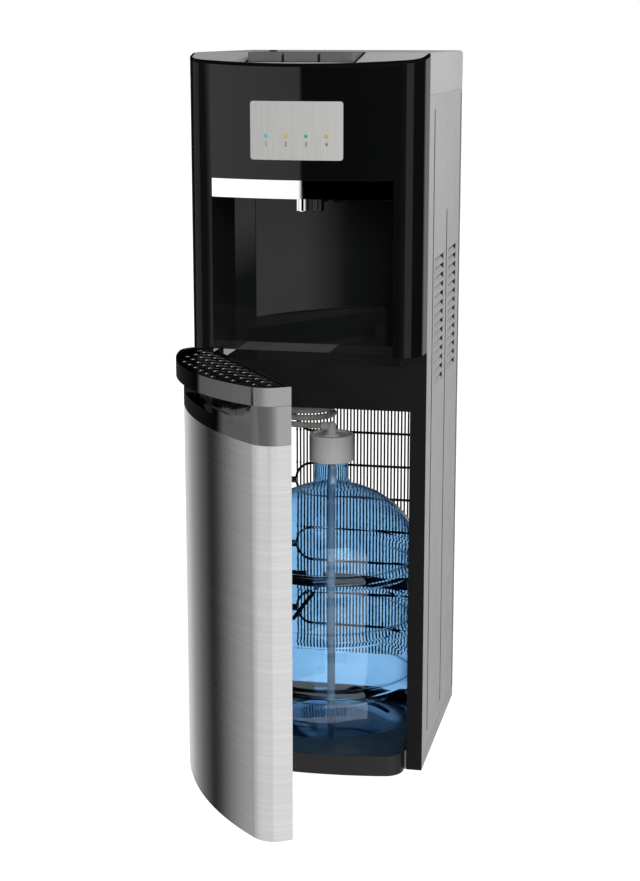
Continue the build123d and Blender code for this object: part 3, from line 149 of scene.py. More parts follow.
silicone = finish(
    "clear_silicone_tube", ("#c6c8c0", "#d4d6ce"), (60, 2), texture=(500, 2, 0.00008),
    Roughness=0.28, IOR=1.41, Subsurface_Weight=0.25, Subsurface_Radius=(0.004, 0.004, 0.003))[0]

route = [(ELBOW_END - away, BOTTLE_Y, ELBOW_Z) for away in BARB_RUN]
# The spline cuts inside its control points, so they stand a little outside the turn.
reach = COIL_R / math.cos(math.pi / PER_TURN) ** 0.5
for i in range(1, int(COIL_TURNS * PER_TURN) + 1):
    turn = i / PER_TURN
    angle = -math.pi / 2 - 2 * math.pi * turn
    route.append((COIL_X + reach * math.cos(angle), BOTTLE_Y + COIL_R + reach * math.sin(angle),
                  ELBOW_Z + COIL_PITCH * turn))
end_x, end_y, end_z = COIL_X - COIL_R, BOTTLE_Y + COIL_R, ELBOW_Z + COIL_PITCH * COIL_TURNS
route += [(end_x, end_y + back, end_z + up) for back, up in RISE]
line = bpy.data.curves.new("hose_line", "CURVE")
line.dimensions = "3D"
spline = line.splines.new("NURBS")
spline.points.add(len(route) - 1)
for point, place in zip(spline.points, route):
    point.co = (*place, 1.0)
spline.order_u = 3
spline.use_endpoint_u = True
spline.resolution_u = 4
line.bevel_depth = HOSE_D / 2
line.bevel_resolution = 5
line.use_fill_caps = True
line.materials.append(silicone)
hose = bpy.data.objects.new("hose_tube", line)
bpy.context.scene.collection.objects.link(hose)
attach(hose, "cabinet")
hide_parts("suction_hose")

# ---------------------------------------------------------------------------
# Feet and grommets: moulded black nitrile rubber, matt, with a bloom that
# makes it a shade greyer in places.
# ---------------------------------------------------------------------------
rubber = finish("moulded_black_rubber", ("#141414", "#1f1f1f"), (90, 4), texture=(1400, 2, 0.00012),
                Roughness=0.82, IOR=1.52)[0]
paint(["feet", "compressor_grommets"], rubber)

# ---------------------------------------------------------------------------
# Cabinet sheets: folded 1 mm steel in a light grey powder coat. The coat's
# orange peel is a few millimetres wide and barely a hundredth deep. The
# pressed grooves are painted as dark lines, a painted shade, and the sheets'
# inner faces are painted near black, a painted shade inside the louvres.
# ---------------------------------------------------------------------------
# Each groove's place from front to back, its lower end and its upper end.
GROOVES = ((0.0155, 0.052, 0.963), (0.1445, 0.051, 0.814), (0.2775, 0.027, 0.977))
GROOVE_HALF = 0.0042
# How far a face must look towards the middle, times its distance from it, to be an inner face.
INWARD = -0.08

powder, tree, shader = finish(
    "grey_powder_coat", sheen=(30, 2, 0.38, 0.48), texture=(420, 1, 0.00006), Roughness=0.42, IOR=1.5)
coat = add(tree, "ShaderNodeValToRGB", {"Fac": grain(tree, 6, 3)},
           stops=((NOISE_LOW, "#bdbbbc"), (NOISE_HIGH, "#c3c1c2")))[0]
place = add(tree, "ShaderNodeSeparateXYZ", {0: add(tree, "ShaderNodeTexCoord")["Object"]})
# Painted shade: a band along each groove is painted dark grey below, as the shade in the groove.
groove_shade = 0.0
for y, low, high in GROOVES:
    along = add(tree, "ShaderNodeMath", {0: place[1], 1: y, 2: GROOVE_HALF}, operation="COMPARE")[0]
    within = add(tree, "ShaderNodeMath", {
        0: place[2], 1: (low + high) / 2, 2: (high - low) / 2}, operation="COMPARE")[0]
    both = add(tree, "ShaderNodeMath", {0: along, 1: within}, operation="MULTIPLY")[0]
    groove_shade = add(tree, "ShaderNodeMath", {0: both, 1: groove_shade}, operation="MAXIMUM")[0]
groove_shaded = add(tree, "ShaderNodeMix", {
    "Factor": groove_shade, "A": coat, "B": linear("#4a4a4a")}, data_type="RGBA")["Result"]
# Painted shade: faces that look towards the middle are painted near black, as the shade seen inside the louvres.
facing = add(tree, "ShaderNodeSeparateXYZ", {0: add(tree, "ShaderNodeNewGeometry")["True Normal"]})[0]
side = add(tree, "ShaderNodeMath", {0: place[0], 1: MIDDLE_X}, operation="SUBTRACT")[0]
outward = add(tree, "ShaderNodeMath", {0: facing, 1: side}, operation="MULTIPLY")[0]
inner = add(tree, "ShaderNodeMath", {0: outward, 1: INWARD}, operation="LESS_THAN")[0]
inner_shaded = add(tree, "ShaderNodeMix", {
    "Factor": inner, "A": groove_shaded, "B": linear("#161616")}, data_type="RGBA")["Result"]
tree.links.new(inner_shaded, shader.inputs["Base Color"])
paint(["left_side_panel", "right_side_panel", "base_pan"], powder)

# ---------------------------------------------------------------------------
# Inner steel: hot-dip galvanised sheet for the deck, the shelf and the
# brackets. Its zinc shows spangle, patches of slightly different grey about
# 9 mm wide.
# ---------------------------------------------------------------------------
zinc, tree, shader = finish("galvanised_steel", Metallic=1.0, Roughness=0.42)
spangle = add(tree, "ShaderNodeTexVoronoi", {
    "Vector": add(tree, "ShaderNodeTexCoord")["Object"], "Scale": 110.0})["Color"]
patch = add(tree, "ShaderNodeRGBToBW", {"Color": spangle})[0]
add(tree, "ShaderNodeValToRGB", {"Fac": patch}, shader.inputs["Base Color"],
    ((NOISE_LOW, "#a9acae"), (NOISE_HIGH, "#c4c6c8")))
add(tree, "ShaderNodeMapRange", {
    "Value": patch, "From Min": NOISE_LOW, "From Max": NOISE_HIGH, "To Min": 0.36, "To Max": 0.5},
    shader.inputs["Roughness"])
paint(["mid_deck", "valve_bridge", "hinge_brackets", "tank_shelf", "screws", "magnet_catch", "back_panel",
       "condenser_brackets"], zinc)

# ---------------------------------------------------------------------------
# Front frame: moulded black ABS with a spark-eroded texture, which scatters
# the light so evenly that the frame reads as one flat black.
# ---------------------------------------------------------------------------
textured = finish("textured_black_abs", ("#171717", "#1c1c1c"), (25, 3), texture=(1500, 1, 0.00006),
                  Roughness=0.7, IOR=1.3)[0]
paint(["front_frame"], textured)

# ---------------------------------------------------------------------------
# Bottle base and small fittings: moulded black ABS with the tool's satin
# finish, which catches a soft light.
# ---------------------------------------------------------------------------
base_abs = finish("moulded_black_abs", ("#121212", "#181818"), (25, 3), (60, 2, 0.3, 0.42), (900, 1, 0.00004),
                  Roughness=0.34, IOR=1.45)[0]
paint(["bottle_base", "button_rim", "child_lock", "switch_bezels", "power_inlet", "drain_spout", "drain_plug",
       "spout_manifold", "tap_valves", "hose_fitting", "pump", "rocker_1", "rocker_2"], base_abs)

# ---------------------------------------------------------------------------
# Bowed front: piano-black ABS, moulded in a polished tool. The surface is
# almost a mirror, so it shows the studio's bright and dark sides. The sloping
# top edge is rounded over its last few millimetres.
# ---------------------------------------------------------------------------
EDGE_SLOPE, EDGE_Z, EDGE_ROUND, EDGE_TURN = 0.1687, 1.0443, 0.0042, 0.5

piano, tree, shader = finish("piano_black_abs", ("#0d0f0e", "#101211"), (9, 2), (14, 4, 0.02, 0.05),
                             Roughness=0.035, IOR=1.38)
place = add(tree, "ShaderNodeSeparateXYZ", {0: add(tree, "ShaderNodeTexCoord")["Object"]})
rim = add(tree, "ShaderNodeMath", {
    0: place[1], 1: -EDGE_SLOPE, 2: EDGE_ROUND - EDGE_Z}, operation="MULTIPLY_ADD")[0]
over = add(tree, "ShaderNodeMath", {0: place[2], 1: rim}, operation="ADD", use_clamp=True)[0]
add(tree, "ShaderNodeBump", {"Height": over, "Distance": -EDGE_TURN}, shader.inputs["Normal"])
paint(["bow_panel"], piano)

# ---------------------------------------------------------------------------
# Niche: the same polished black ABS as one deep moulding, painted a shade
# lighter than the panel as painted light in the shaded niche. Its left wall
# and the left of its floor glow for other mirrors and for nothing else, a
# painted reflection of the room's light in its back wall.
# ---------------------------------------------------------------------------
GLOW, GLOW_LOW, GLOW_HIGH, GLOW_RIGHT = 1.15, 0.71, 0.80, MIDDLE_X + 0.012
# A face looks along an axis when its normal has more than this of it.
LOOKS_ALONG = 0.7

# Painted light: the same black ABS as the panel, its shades made lighter for the shaded niche.
niche_abs, tree, shader = finish("polished_niche_abs", ("#1d201e", "#212422"), (9, 2), (14, 4, 0.02, 0.04),
                                 Roughness=0.03, IOR=1.38, Emission_Color=(1, 1, 1, 1))
# Painted reflection: the upper left wall and the left of the floor glow, for glossy rays only.
facing = add(tree, "ShaderNodeSeparateXYZ", {0: add(tree, "ShaderNodeNewGeometry")["True Normal"]})
place = add(tree, "ShaderNodeSeparateXYZ", {0: add(tree, "ShaderNodeTexCoord")["Object"]})
wall = add(tree, "ShaderNodeMath", {0: facing[0], 1: LOOKS_ALONG}, operation="GREATER_THAN")[0]
raised = add(tree, "ShaderNodeMapRange", {
    "Value": place[2], "From Min": GLOW_LOW, "From Max": GLOW_HIGH})[0]
upper_wall = add(tree, "ShaderNodeMath", {0: wall, 1: raised}, operation="MULTIPLY")[0]
left = add(tree, "ShaderNodeMath", {0: place[0], 1: GLOW_RIGHT}, operation="LESS_THAN")[0]
level = add(tree, "ShaderNodeMath", {0: facing[2], 1: LOOKS_ALONG}, operation="GREATER_THAN")[0]
painted_glow = add(tree, "ShaderNodeMath", {0: left, 1: level, 2: upper_wall}, operation="MULTIPLY_ADD")[0]
mirrored = add(tree, "ShaderNodeMath", {
    0: add(tree, "ShaderNodeLightPath")["Is Glossy Ray"], 1: painted_glow}, operation="MULTIPLY")[0]
add(tree, "ShaderNodeMath", {0: mirrored, 1: GLOW}, shader.inputs["Emission Strength"], operation="MULTIPLY")
paint(["niche_liner"], niche_abs)

# ---------------------------------------------------------------------------
# Trim band and hot spout: ABS with decorative chrome plate, a true mirror with
# the faintest ripple from the plating.
# ---------------------------------------------------------------------------
chrome = finish("plated_chrome", ("#f0f0f0", "#f6f6f6"), (12, 2), (20, 3, 0.02, 0.05),
                Metallic=1.0, Roughness=0.03)[0]
paint(["trim_band", "spout_hot"], chrome)

# ---------------------------------------------------------------------------
# Cold spout: plain black polypropylene, a little duller than the panel.
# ---------------------------------------------------------------------------
spout_black = finish("black_polypropylene", ("#0e0f0f", "#151616"), (70, 3), Roughness=0.25, IOR=1.49)[0]
paint(["spout_cold"], spout_black)

# ---------------------------------------------------------------------------
# Indicator plate: thin stainless sheet, brushed upright and lacquered. The
# brush lines are 0.2 mm; they are drawn 0.5 mm wide, so that they show.
# ---------------------------------------------------------------------------
plate_steel, tree, shader = finish("brushed_plate", Metallic=0.35, Roughness=0.55)
streaks = grain(tree, 1.0, 5, (1900, 60, 24))
add(tree, "ShaderNodeValToRGB", {"Fac": streaks}, shader.inputs["Base Color"],
    ((NOISE_LOW, "#d2d1cf"), (NOISE_HIGH, "#e4e3e0")))
add(tree, "ShaderNodeMapRange", {
    "Value": streaks, "From Min": NOISE_LOW, "From Max": NOISE_HIGH, "To Min": 0.5, "To Max": 0.6},
    shader.inputs["Roughness"])
add(tree, "ShaderNodeBump", {"Height": streaks, "Distance": 0.00002}, shader.inputs["Normal"])
paint(["indicator_plate"], plate_steel)


# ---------------------------------------------------------------------------
# Figures one to four under the lamps: screen printed in dark grey ink, 8.5 mm
# high and following the plate's bend.
# ---------------------------------------------------------------------------
def piece(name, body, made, built):
    """Puts a finished mesh in the scene as a piece on a body."""
    made_piece = bpy.data.objects.new(name, built)
    bpy.context.scene.collection.objects.link(made_piece)
    if made is not None:
        built.materials.clear()
        built.materials.append(made)
    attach(made_piece, body)
    return made_piece


HALF_WIDTH, BOW_SAG = 0.166, 0.036
BOW_R, BOW_Y = (HALF_WIDTH**2 + BOW_SAG**2) / (2 * BOW_SAG), MIDDLE_Y - 0.200
PLATE_X, PLATE_PROUD, LAMP_PITCH, LAMP_Z = MIDDLE_X - 0.0035, 0.0005, 0.0278, 0.931
FIGURE_SIZE, FIGURE_DROP, INK_DEPTH, INK_GAP = 0.0085, 0.0135, 0.00006, 0.00002

ink = finish("dark_grey_ink", ("#2a2a2a", "#3a3a3a"), (800, 2), Roughness=0.5)[0]
for number in range(4):
    figure = bpy.data.curves.new("figure", "FONT")
    figure.body = str(number + 1)
    figure.size = FIGURE_SIZE
    figure.align_x = "CENTER"
    figure.extrude = INK_DEPTH
    shape = bpy.data.objects.new("figure", figure)
    bpy.context.scene.collection.objects.link(shape)
    bpy.context.view_layer.update()
    built = bpy.data.meshes.new_from_object(shape.evaluated_get(bpy.context.evaluated_depsgraph_get()))
    bpy.data.objects.remove(shape)
    x = PLATE_X + (number - 1.5) * LAMP_PITCH
    aside = x - MIDDLE_X
    surface_y = BOW_Y - BOW_SAG + BOW_R - math.sqrt(BOW_R**2 - aside * aside) - PLATE_PROUD
    turn = Matrix.Rotation(math.asin(aside / BOW_R), 4, "Z") @ Matrix.Rotation(math.radians(90), 4, "X")
    built.transform(Matrix.Translation((x, surface_y - INK_GAP, LAMP_Z - FIGURE_DROP)) @ turn)
    piece(f"lamp_figure_{number + 1}", "cabinet", ink, built)

# ---------------------------------------------------------------------------
# Indicator lamps: tinted acrylic lenses over small diodes. From the left they
# are blue, yellow, green and yellow; the glow is faint in a bright room.
# ---------------------------------------------------------------------------
TINTS = "#4fb7cf", "#c9b43a", "#2fae7c", "#c2b037"

lens, tree, shader = finish("tinted_acrylic_lens", Roughness=0.12, IOR=1.49, Emission_Strength=0.25)
side = add(tree, "ShaderNodeSeparateXYZ", {0: add(tree, "ShaderNodeTexCoord")["Object"]})[0]
along = add(tree, "ShaderNodeMapRange", {
    "Value": side, "From Min": PLATE_X - 2 * LAMP_PITCH, "From Max": PLATE_X + 2 * LAMP_PITCH})[0]
tint = add(tree, "ShaderNodeValToRGB", {"Fac": along}, shader.inputs["Base Color"],
           [(i / len(TINTS), colour) for i, colour in enumerate(TINTS)])[0]
tint.node.color_ramp.interpolation = "CONSTANT"
tree.links.new(tint, shader.inputs["Emission Color"])
paint(["indicator_lamps"], lens)

# ---------------------------------------------------------------------------
# Circuit boards: glass-epoxy board under green solder mask, with the mask a
# little lighter over the copper's tracks.
# ---------------------------------------------------------------------------
board, tree, shader = finish("green_solder_mask", Roughness=0.35, IOR=1.55)
add(tree, "ShaderNodeTexBrick", {
    "Vector": add(tree, "ShaderNodeTexCoord")["Object"], "Color1": linear("#0f4a2a"),
    "Color2": linear("#0c3f24"), "Mortar": linear("#2a7345"), "Scale": 90.0, "Mortar Size": 0.04},
    shader.inputs["Base Color"])
paint(["lamp_board", "control_board"], board)

# ---------------------------------------------------------------------------
# Top cover: a grey ABS moulding with a fine satin texture, over the sheets'
# upper edges.
# ---------------------------------------------------------------------------
cover = finish("moulded_grey_abs", ("#c6c4c4", "#cccaca"), (8, 3), (45, 2, 0.36, 0.48), (1300, 1, 0.00005),
               Roughness=0.4, IOR=1.5)[0]
paint(["top_cover"], cover)

# ---------------------------------------------------------------------------
# Rocking keys: dark grey ABS, satin, shinier where fingers press.
# ---------------------------------------------------------------------------
key_abs = finish("satin_key_abs", ("#666a68", "#717573"), (40, 3), (50, 4, 0.44, 0.56), (1200, 1, 0.00003),
                 Roughness=0.5, IOR=1.4)[0]
paint(["button_hot", "button_room", "button_cold"], key_abs)

# ---------------------------------------------------------------------------
# Door skin: 0.8 mm stainless sheet, belt brushed from side to side and bent to
# the bow. The lines are 0.1 to 0.3 mm high; they are drawn about 1.2 mm high
# and 60 mm long, so that they show.
# ---------------------------------------------------------------------------
BROAD_SHARE = 0.25

# Fine lines are deepest where a broad one runs under them, and the broad ones add a share of their own.
brushed, tree, shader = finish("brushed_stainless", Metallic=1.0, Roughness=0.3)
fine = grain(tree, 1.0, 4, (9, 9, 800))
broad = grain(tree, 1.0, 2, (5, 5, 200))
swell = add(tree, "ShaderNodeMath", {0: broad, 1: BROAD_SHARE}, operation="MULTIPLY")[0]
lines = add(tree, "ShaderNodeMath", {0: fine, 1: broad, 2: swell}, operation="MULTIPLY_ADD")[0]
add(tree, "ShaderNodeValToRGB", {"Fac": lines}, shader.inputs["Base Color"],
    ((NOISE_LOW, "#d3d3d4"), (NOISE_HIGH, "#dfdfe0")))
add(tree, "ShaderNodeMapRange", {
    "Value": lines, "From Min": NOISE_LOW, "From Max": NOISE_HIGH, "To Min": 0.11, "To Max": 0.15},
    shader.inputs["Roughness"])
add(tree, "ShaderNodeBump", {"Height": lines, "Distance": 0.000004}, shader.inputs["Normal"])
paint(["door_skin"], brushed)

# ---------------------------------------------------------------------------
# Door liner and bushes: the liner is a black high-impact styrene forming, the
# bushes are black acetal turned to the hinge pins.
# ---------------------------------------------------------------------------
liner = finish("formed_styrene", ("#2b2b2b", "#343434"), (30, 3), texture=(1000, 1, 0.00006),
               Roughness=0.5, IOR=1.5)[0]
paint(["door_liner"], liner)
acetal = finish("black_acetal", ("#161616", "#1d1d1d"), (120, 2), Roughness=0.3, IOR=1.48)[0]
paint(["door_bushes"], acetal)

# ---------------------------------------------------------------------------
# Door cap, drip tray, grille and push tile: black ABS under a hard clear
# lacquer, a strong mirror. The cap's front leans back with the tool's draft
# and hollows into a scoop under the lip, near the hinge; the lip leans less.
# ---------------------------------------------------------------------------
HINGE_X, HINGE_Y, DOOR_ANGLE = MIDDLE_X - 0.154, MIDDLE_Y - 0.1741, math.radians(56)
LIP_Z, LIP_DRAFT, CAP_DRAFT = 0.6033, 0.1405, 0.2126
# The scoop deepens with the square of the height over its lower edge, and
# fades out between two places along the door from the hinge.
SCOOP_Z, SCOOP_CURVE, SCOOP_FADES, SCOOP_ENDS = 0.580, 20.0, 0.25, 0.295

lacquer, tree, shader = finish("lacquered_black_abs", ("#070707", "#0b0b0b"), (20, 3), (35, 3, 0.05, 0.08),
                               Roughness=0.06, IOR=2.7)
place = add(tree, "ShaderNodeSeparateXYZ", {0: add(tree, "ShaderNodeTexCoord")["Object"]})
across = add(tree, "ShaderNodeMath", {
    0: place[0], 1: math.cos(DOOR_ANGLE),
    2: HINGE_Y * math.sin(DOOR_ANGLE) - HINGE_X * math.cos(DOOR_ANGLE)}, operation="MULTIPLY_ADD")[0]
along = add(tree, "ShaderNodeMath", {
    0: place[1], 1: -math.sin(DOOR_ANGLE), 2: across}, operation="MULTIPLY_ADD")[0]
curve = add(tree, "ShaderNodeMapRange", {
    "Value": along, "From Min": SCOOP_FADES, "From Max": SCOOP_ENDS, "To Min": SCOOP_CURVE, "To Max": 0.0})[0]
above = add(tree, "ShaderNodeMath", {0: place[2], 1: SCOOP_Z}, operation="SUBTRACT", use_clamp=True)[0]
square = add(tree, "ShaderNodeMath", {0: above, 1: above}, operation="MULTIPLY")[0]
scoop = add(tree, "ShaderNodeMath", {0: square, 1: curve}, operation="MULTIPLY")[0]
cap_shape = add(tree, "ShaderNodeMath", {0: place[2], 1: CAP_DRAFT, 2: scoop}, operation="MULTIPLY_ADD")[0]
lip_shape = add(tree, "ShaderNodeMath", {0: place[2], 1: LIP_DRAFT}, operation="MULTIPLY")[0]
on_lip = add(tree, "ShaderNodeMath", {0: place[2], 1: LIP_Z}, operation="GREATER_THAN")[0]
shape = add(tree, "ShaderNodeMix", {"Factor": on_lip, "A": cap_shape, "B": lip_shape})["Result"]
add(tree, "ShaderNodeBump", {"Height": shape, "Distance": -1.0}, shader.inputs["Normal"])
paint(["door_cap", "latch_button", "drip_tray", "drip_grille"], lacquer)


# ---------------------------------------------------------------------------
# Bottle: five-gallon water bottle, blown in clear blue polycarbonate 1.3 mm
# thick, with three hoop ribs. Its profile is drawn as one closed line, outer
# wall and inner wall, and turned about the neck's axis by Geometry Nodes.
# ---------------------------------------------------------------------------
def bottle_outline(inset):
    """Half profile from the floor's centre up to the neck's lip, drawn in by the wall."""
    r, neck, foot = BOTTLE_R - inset, NECK_R - inset, SEAT_Z + inset
    points = [(0.0, foot + 0.014), (0.045, foot + 0.0135), (0.070, foot + 0.012), (0.092, foot + 0.004),
              (0.104, foot), (0.116, foot + 0.0006), (r - 0.010, foot + 0.004), (r - 0.006, SEAT_Z + 0.012),
              (r - 0.0045, SEAT_Z + 0.028), (r - 0.001, SEAT_Z + 0.036), (r, SEAT_Z + 0.044)]
    for z in RIBS:
        points += [(r - deep, z - away) for deep, away in RIB_HALF]
        points += [(r - deep, z + away) for deep, away in reversed(RIB_HALF)]
    points += [(r, 0.302), (r - 0.003, 0.318), (r - 0.010, 0.333), (r - 0.022, 0.350), (r - 0.039, 0.3665),
               (r - 0.060, 0.3805), (r - 0.082, 0.3900), (neck + 0.012, 0.3945), (neck + 0.004, 0.3985)]
    return points + [(neck, 0.406), (neck, 0.430), (neck, NECK_TOP)]


def baked(shape, tree, values):
    """Runs a Geometry Nodes tree on an object with its named inputs and returns the plain mesh."""
    modifier = shape.modifiers.new(tree.name, "NODES")
    modifier.node_group = tree
    for key, value in values.items():
        modifier[tree.interface.items_tree[key].identifier] = value
    bpy.context.view_layer.update()
    built = bpy.data.meshes.new_from_object(shape.evaluated_get(bpy.context.evaluated_depsgraph_get()))
    shape.modifiers.clear()
    bpy.data.objects.remove(shape)
    check = bmesh.new()
    check.from_mesh(built)
    bmesh.ops.recalc_face_normals(check, faces=check.faces)
    check.to_mesh(built)
    check.free()
    return built


SEAT_Z, BOTTLE_R, NECK_R, NECK_TOP, WALL = 0.013, 0.134, 0.026, 0.462, 0.0013
# The ribs' heights, and half a rib as depths and distances from its middle.
RIBS = 0.104, 0.192, 0.280
RIB_HALF = (0.0, 0.0125), (0.001, 0.0105), (0.0050, 0.0065), (0.0060, 0.0045)
AROUND, POLE_R, JOIN = 128, 1e-6, 1e-5

polycarbonate, tree, shader = finish(
    "clear_blue_polycarbonate", texture=(60, 2, 0.00005), Roughness=0.02, IOR=1.58, Transmission_Weight=1.0)
# The wall is crossed at a slant near the outline, so the tint is deeper there.
slant = add(tree, "ShaderNodeLayerWeight", {"Blend": 0.5})["Facing"]
slant = add(tree, "ShaderNodeMapRange", {"Value": slant, "From Min": 0.45, "From Max": 0.85})[0]
flat = add(tree, "ShaderNodeValToRGB", {"Fac": grain(tree, 18, 2)},
           stops=((NOISE_LOW, "#aed3f0"), (NOISE_HIGH, "#b8dbf5")))[0]
tint = add(tree, "ShaderNodeMix", {"Factor": slant, "A": flat, "B": linear("#3c6a90")}, data_type="RGBA")
tree.links.new(tint["Result"], shader.inputs["Base Color"])

wall_line = bpy.data.curves.new("blown_bottle", "CURVE")
wall_line.dimensions = "3D"
spline = wall_line.splines.new("POLY")
profile = bottle_outline(0.0) + bottle_outline(WALL)[::-1]
spline.points.add(len(profile) - 1)
for point, (r, z) in zip(spline.points, profile):
    point.co = (r, -z, 0, 1)
shape = bpy.data.objects.new("blown_bottle", wall_line)
bpy.context.scene.collection.objects.link(shape)
turning = bpy.data.node_groups.new("blown_bottle", "GeometryNodeTree")
turning.interface.new_socket("Geometry", in_out="INPUT", socket_type="NodeSocketGeometry")
turning.interface.new_socket("Around", in_out="INPUT", socket_type="NodeSocketInt")
turning.interface.new_socket("Geometry", in_out="OUTPUT", socket_type="NodeSocketGeometry")
given = add(turning, "NodeGroupInput")
circle = add(turning, "GeometryNodeCurvePrimitiveCircle", {"Resolution": given["Around"], "Radius": POLE_R})[0]
upright = add(turning, "GeometryNodeSetCurveNormal", {"Curve": circle}, mode="Z_UP")[0]
skin = add(turning, "GeometryNodeCurveToMesh", {"Curve": upright, "Profile Curve": given["Geometry"]})[0]
joined = add(turning, "GeometryNodeMergeByDistance", {"Geometry": skin, "Distance": JOIN})[0]
smooth = add(turning, "GeometryNodeSetShadeSmooth", {"Geometry": joined})[0]
single = add(turning, "GeometryNodeRealizeInstances", {"Geometry": smooth})[0]
dressed = add(turning, "GeometryNodeSetMaterial", {"Geometry": single, "Material": polycarbonate})[0]
add(turning, "NodeGroupOutput", {"Geometry": dressed})
blown = baked(shape, turning, {"Around": AROUND})
blown.transform(Matrix.Translation((BOTTLE_X, BOTTLE_Y, 0)))
blown_bottle = piece("water_bottle", "cabinet", None, blown)
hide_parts("bottle")

# ---------------------------------------------------------------------------
# Bottle cap, tube and elbow: light grey polyethylene, softly translucent, with
# the faint mottling of the moulding.
# ---------------------------------------------------------------------------
cap_pe = finish("grey_polyethylene", ("#ececeb", "#f2f2f1"), (35, 3), texture=(700, 1, 0.00005),
                Roughness=0.45, IOR=1.5)[0]
paint(["bottle_cap", "probe_elbow", "dip_tube"], cap_pe)

# ---------------------------------------------------------------------------
# Condenser and compressor: a black enamelled steel tube bent into eight
# passes, with grey enamelled upright wires welded to its back.
# ---------------------------------------------------------------------------
enamel = finish("black_enamel", ("#0d0d0d", "#181818"), (50, 4), texture=(600, 1, 0.00005),
                Roughness=0.35, IOR=1.5)[0]
paint(["condenser_tube", "rear_brace", "compressor"], enamel)
wire_paint = finish("grey_wire_enamel", ("#2c2c2c", "#383838"), (90, 3), Roughness=0.45, IOR=1.5)[0]
paint(["condenser_wires"], wire_paint)

# ---------------------------------------------------------------------------
# Condenser welds: each wire is resistance-welded where it crosses a pass, and
# each weld leaves a small flat blob. They are points in rows by Geometry
# Nodes, each with a small flattened ball.
# ---------------------------------------------------------------------------
WIRES, WIRE_PITCH, PASSES, PASS_TOP, PASS_PITCH = 41, 0.0055, 8, 0.496, 0.054
WELD_R, WELDS_X, WELDS_Y = 0.0018, MIDDLE_X + 0.018, MIDDLE_Y + 0.1551

blobs = bpy.data.node_groups.new("weld_blobs", "GeometryNodeTree")
blobs.interface.new_socket("Geometry", in_out="INPUT", socket_type="NodeSocketGeometry")
blobs.interface.new_socket("Wires", in_out="INPUT", socket_type="NodeSocketInt")
blobs.interface.new_socket("Passes", in_out="INPUT", socket_type="NodeSocketInt")
blobs.interface.new_socket("Radius", in_out="INPUT", socket_type="NodeSocketFloat")
blobs.interface.new_socket("Geometry", in_out="OUTPUT", socket_type="NodeSocketGeometry")
given = add(blobs, "NodeGroupInput")
rows = add(blobs, "GeometryNodeMeshGrid", {
    "Size X": (WIRES - 1) * WIRE_PITCH, "Size Y": (PASSES - 1) * PASS_PITCH,
    "Vertices X": given["Wires"], "Vertices Y": given["Passes"]})[0]
upright = add(blobs, "GeometryNodeTransform", {"Geometry": rows, "Rotation": (math.pi / 2, 0, 0)})[0]
ball = add(blobs, "GeometryNodeMeshUVSphere", {"Segments": 8, "Rings": 6, "Radius": given["Radius"]})[0]
uneven = add(blobs, "FunctionNodeRandomValue", {
    0: (0.8, 0.7, 0.8), 1: (1.2, 1.0, 1.3), "Seed": 7}, data_type="FLOAT_VECTOR")[0]
placed = add(blobs, "GeometryNodeInstanceOnPoints", {"Points": upright, "Instance": ball, "Scale": uneven})[0]
single = add(blobs, "GeometryNodeRealizeInstances", {"Geometry": placed})[0]
dressed = add(blobs, "GeometryNodeSetMaterial", {"Geometry": single, "Material": wire_paint})[0]
add(blobs, "NodeGroupOutput", {"Geometry": dressed})
holder = bpy.data.objects.new("weld_blobs", bpy.data.meshes.new("weld_blobs"))
bpy.context.scene.collection.objects.link(holder)
welds = baked(holder, blobs, {"Wires": WIRES, "Passes": PASSES, "Radius": WELD_R})
welds.transform(Matrix.Translation((WELDS_X, WELDS_Y, PASS_TOP - (PASSES - 1) * PASS_PITCH / 2)))
piece("condenser_welds", "cabinet", None, welds)

# ---------------------------------------------------------------------------
# Copper lines, tanks and their foam: drawn copper that has dulled, bright
# stainless cans, and moulded polyurethane foam with its cast skin.
# ---------------------------------------------------------------------------
copper = finish("drawn_copper", ("#a5653f", "#c98a62"), (60, 4), (80, 3, 0.22, 0.42),
                Metallic=1.0, Roughness=0.3)[0]
paint(["refrigerant_lines"], copper)
can_steel = finish("deep_drawn_stainless", ("#bfc0c0", "#d2d3d3"), (1, 3, (20, 20, 500)),
                   Metallic=1.0, Roughness=0.22)[0]
paint(["cold_tank", "hot_tank"], can_steel)
foam = finish("polyurethane_foam", ("#d9d2bd", "#e9e4d4"), (40, 5), texture=(260, 3, 0.0006),
              Roughness=0.9, IOR=1.4)[0]
paint(["cold_tank_foam"], foam)

# ---------------------------------------------------------------------------
# Studio floor: a wide pale sheet that the camera sees as white, and that keeps
# the object's shadow. Shiny surfaces see the room's screens through it.
# ---------------------------------------------------------------------------
FLOOR_HALF = 40

floor_mesh = bpy.data.meshes.new("floor")
floor_mesh.from_pydata([(-FLOOR_HALF, -FLOOR_HALF, 0), (FLOOR_HALF, -FLOOR_HALF, 0), (FLOOR_HALF, FLOOR_HALF, 0),
                        (-FLOOR_HALF, FLOOR_HALF, 0)], [], [(0, 1, 2, 3)])
floor = bpy.data.objects.new("floor", floor_mesh)
bpy.context.scene.collection.objects.link(floor)
floor.visible_glossy = False
pale, tree, shader = finish("pale_floor", Base_Color=linear("#b4b4b4"), Roughness=0.9, Specular_IOR_Level=0.0,
                            Emission_Color=(1, 1, 1, 1))
seen = add(tree, "ShaderNodeLightPath")
add(tree, "ShaderNodeMath", {0: seen["Is Camera Ray"], 1: seen["Is Transmission Ray"]},
    shader.inputs["Emission Strength"], operation="MAXIMUM")
floor_mesh.materials.append(pale)

# ---------------------------------------------------------------------------
# Studio room: even and white for matt surfaces. Shiny surfaces see bright and
# dark screens around the cooler instead, as they do in the photograph.
# ---------------------------------------------------------------------------
ROOM_LIGHT = 0.34
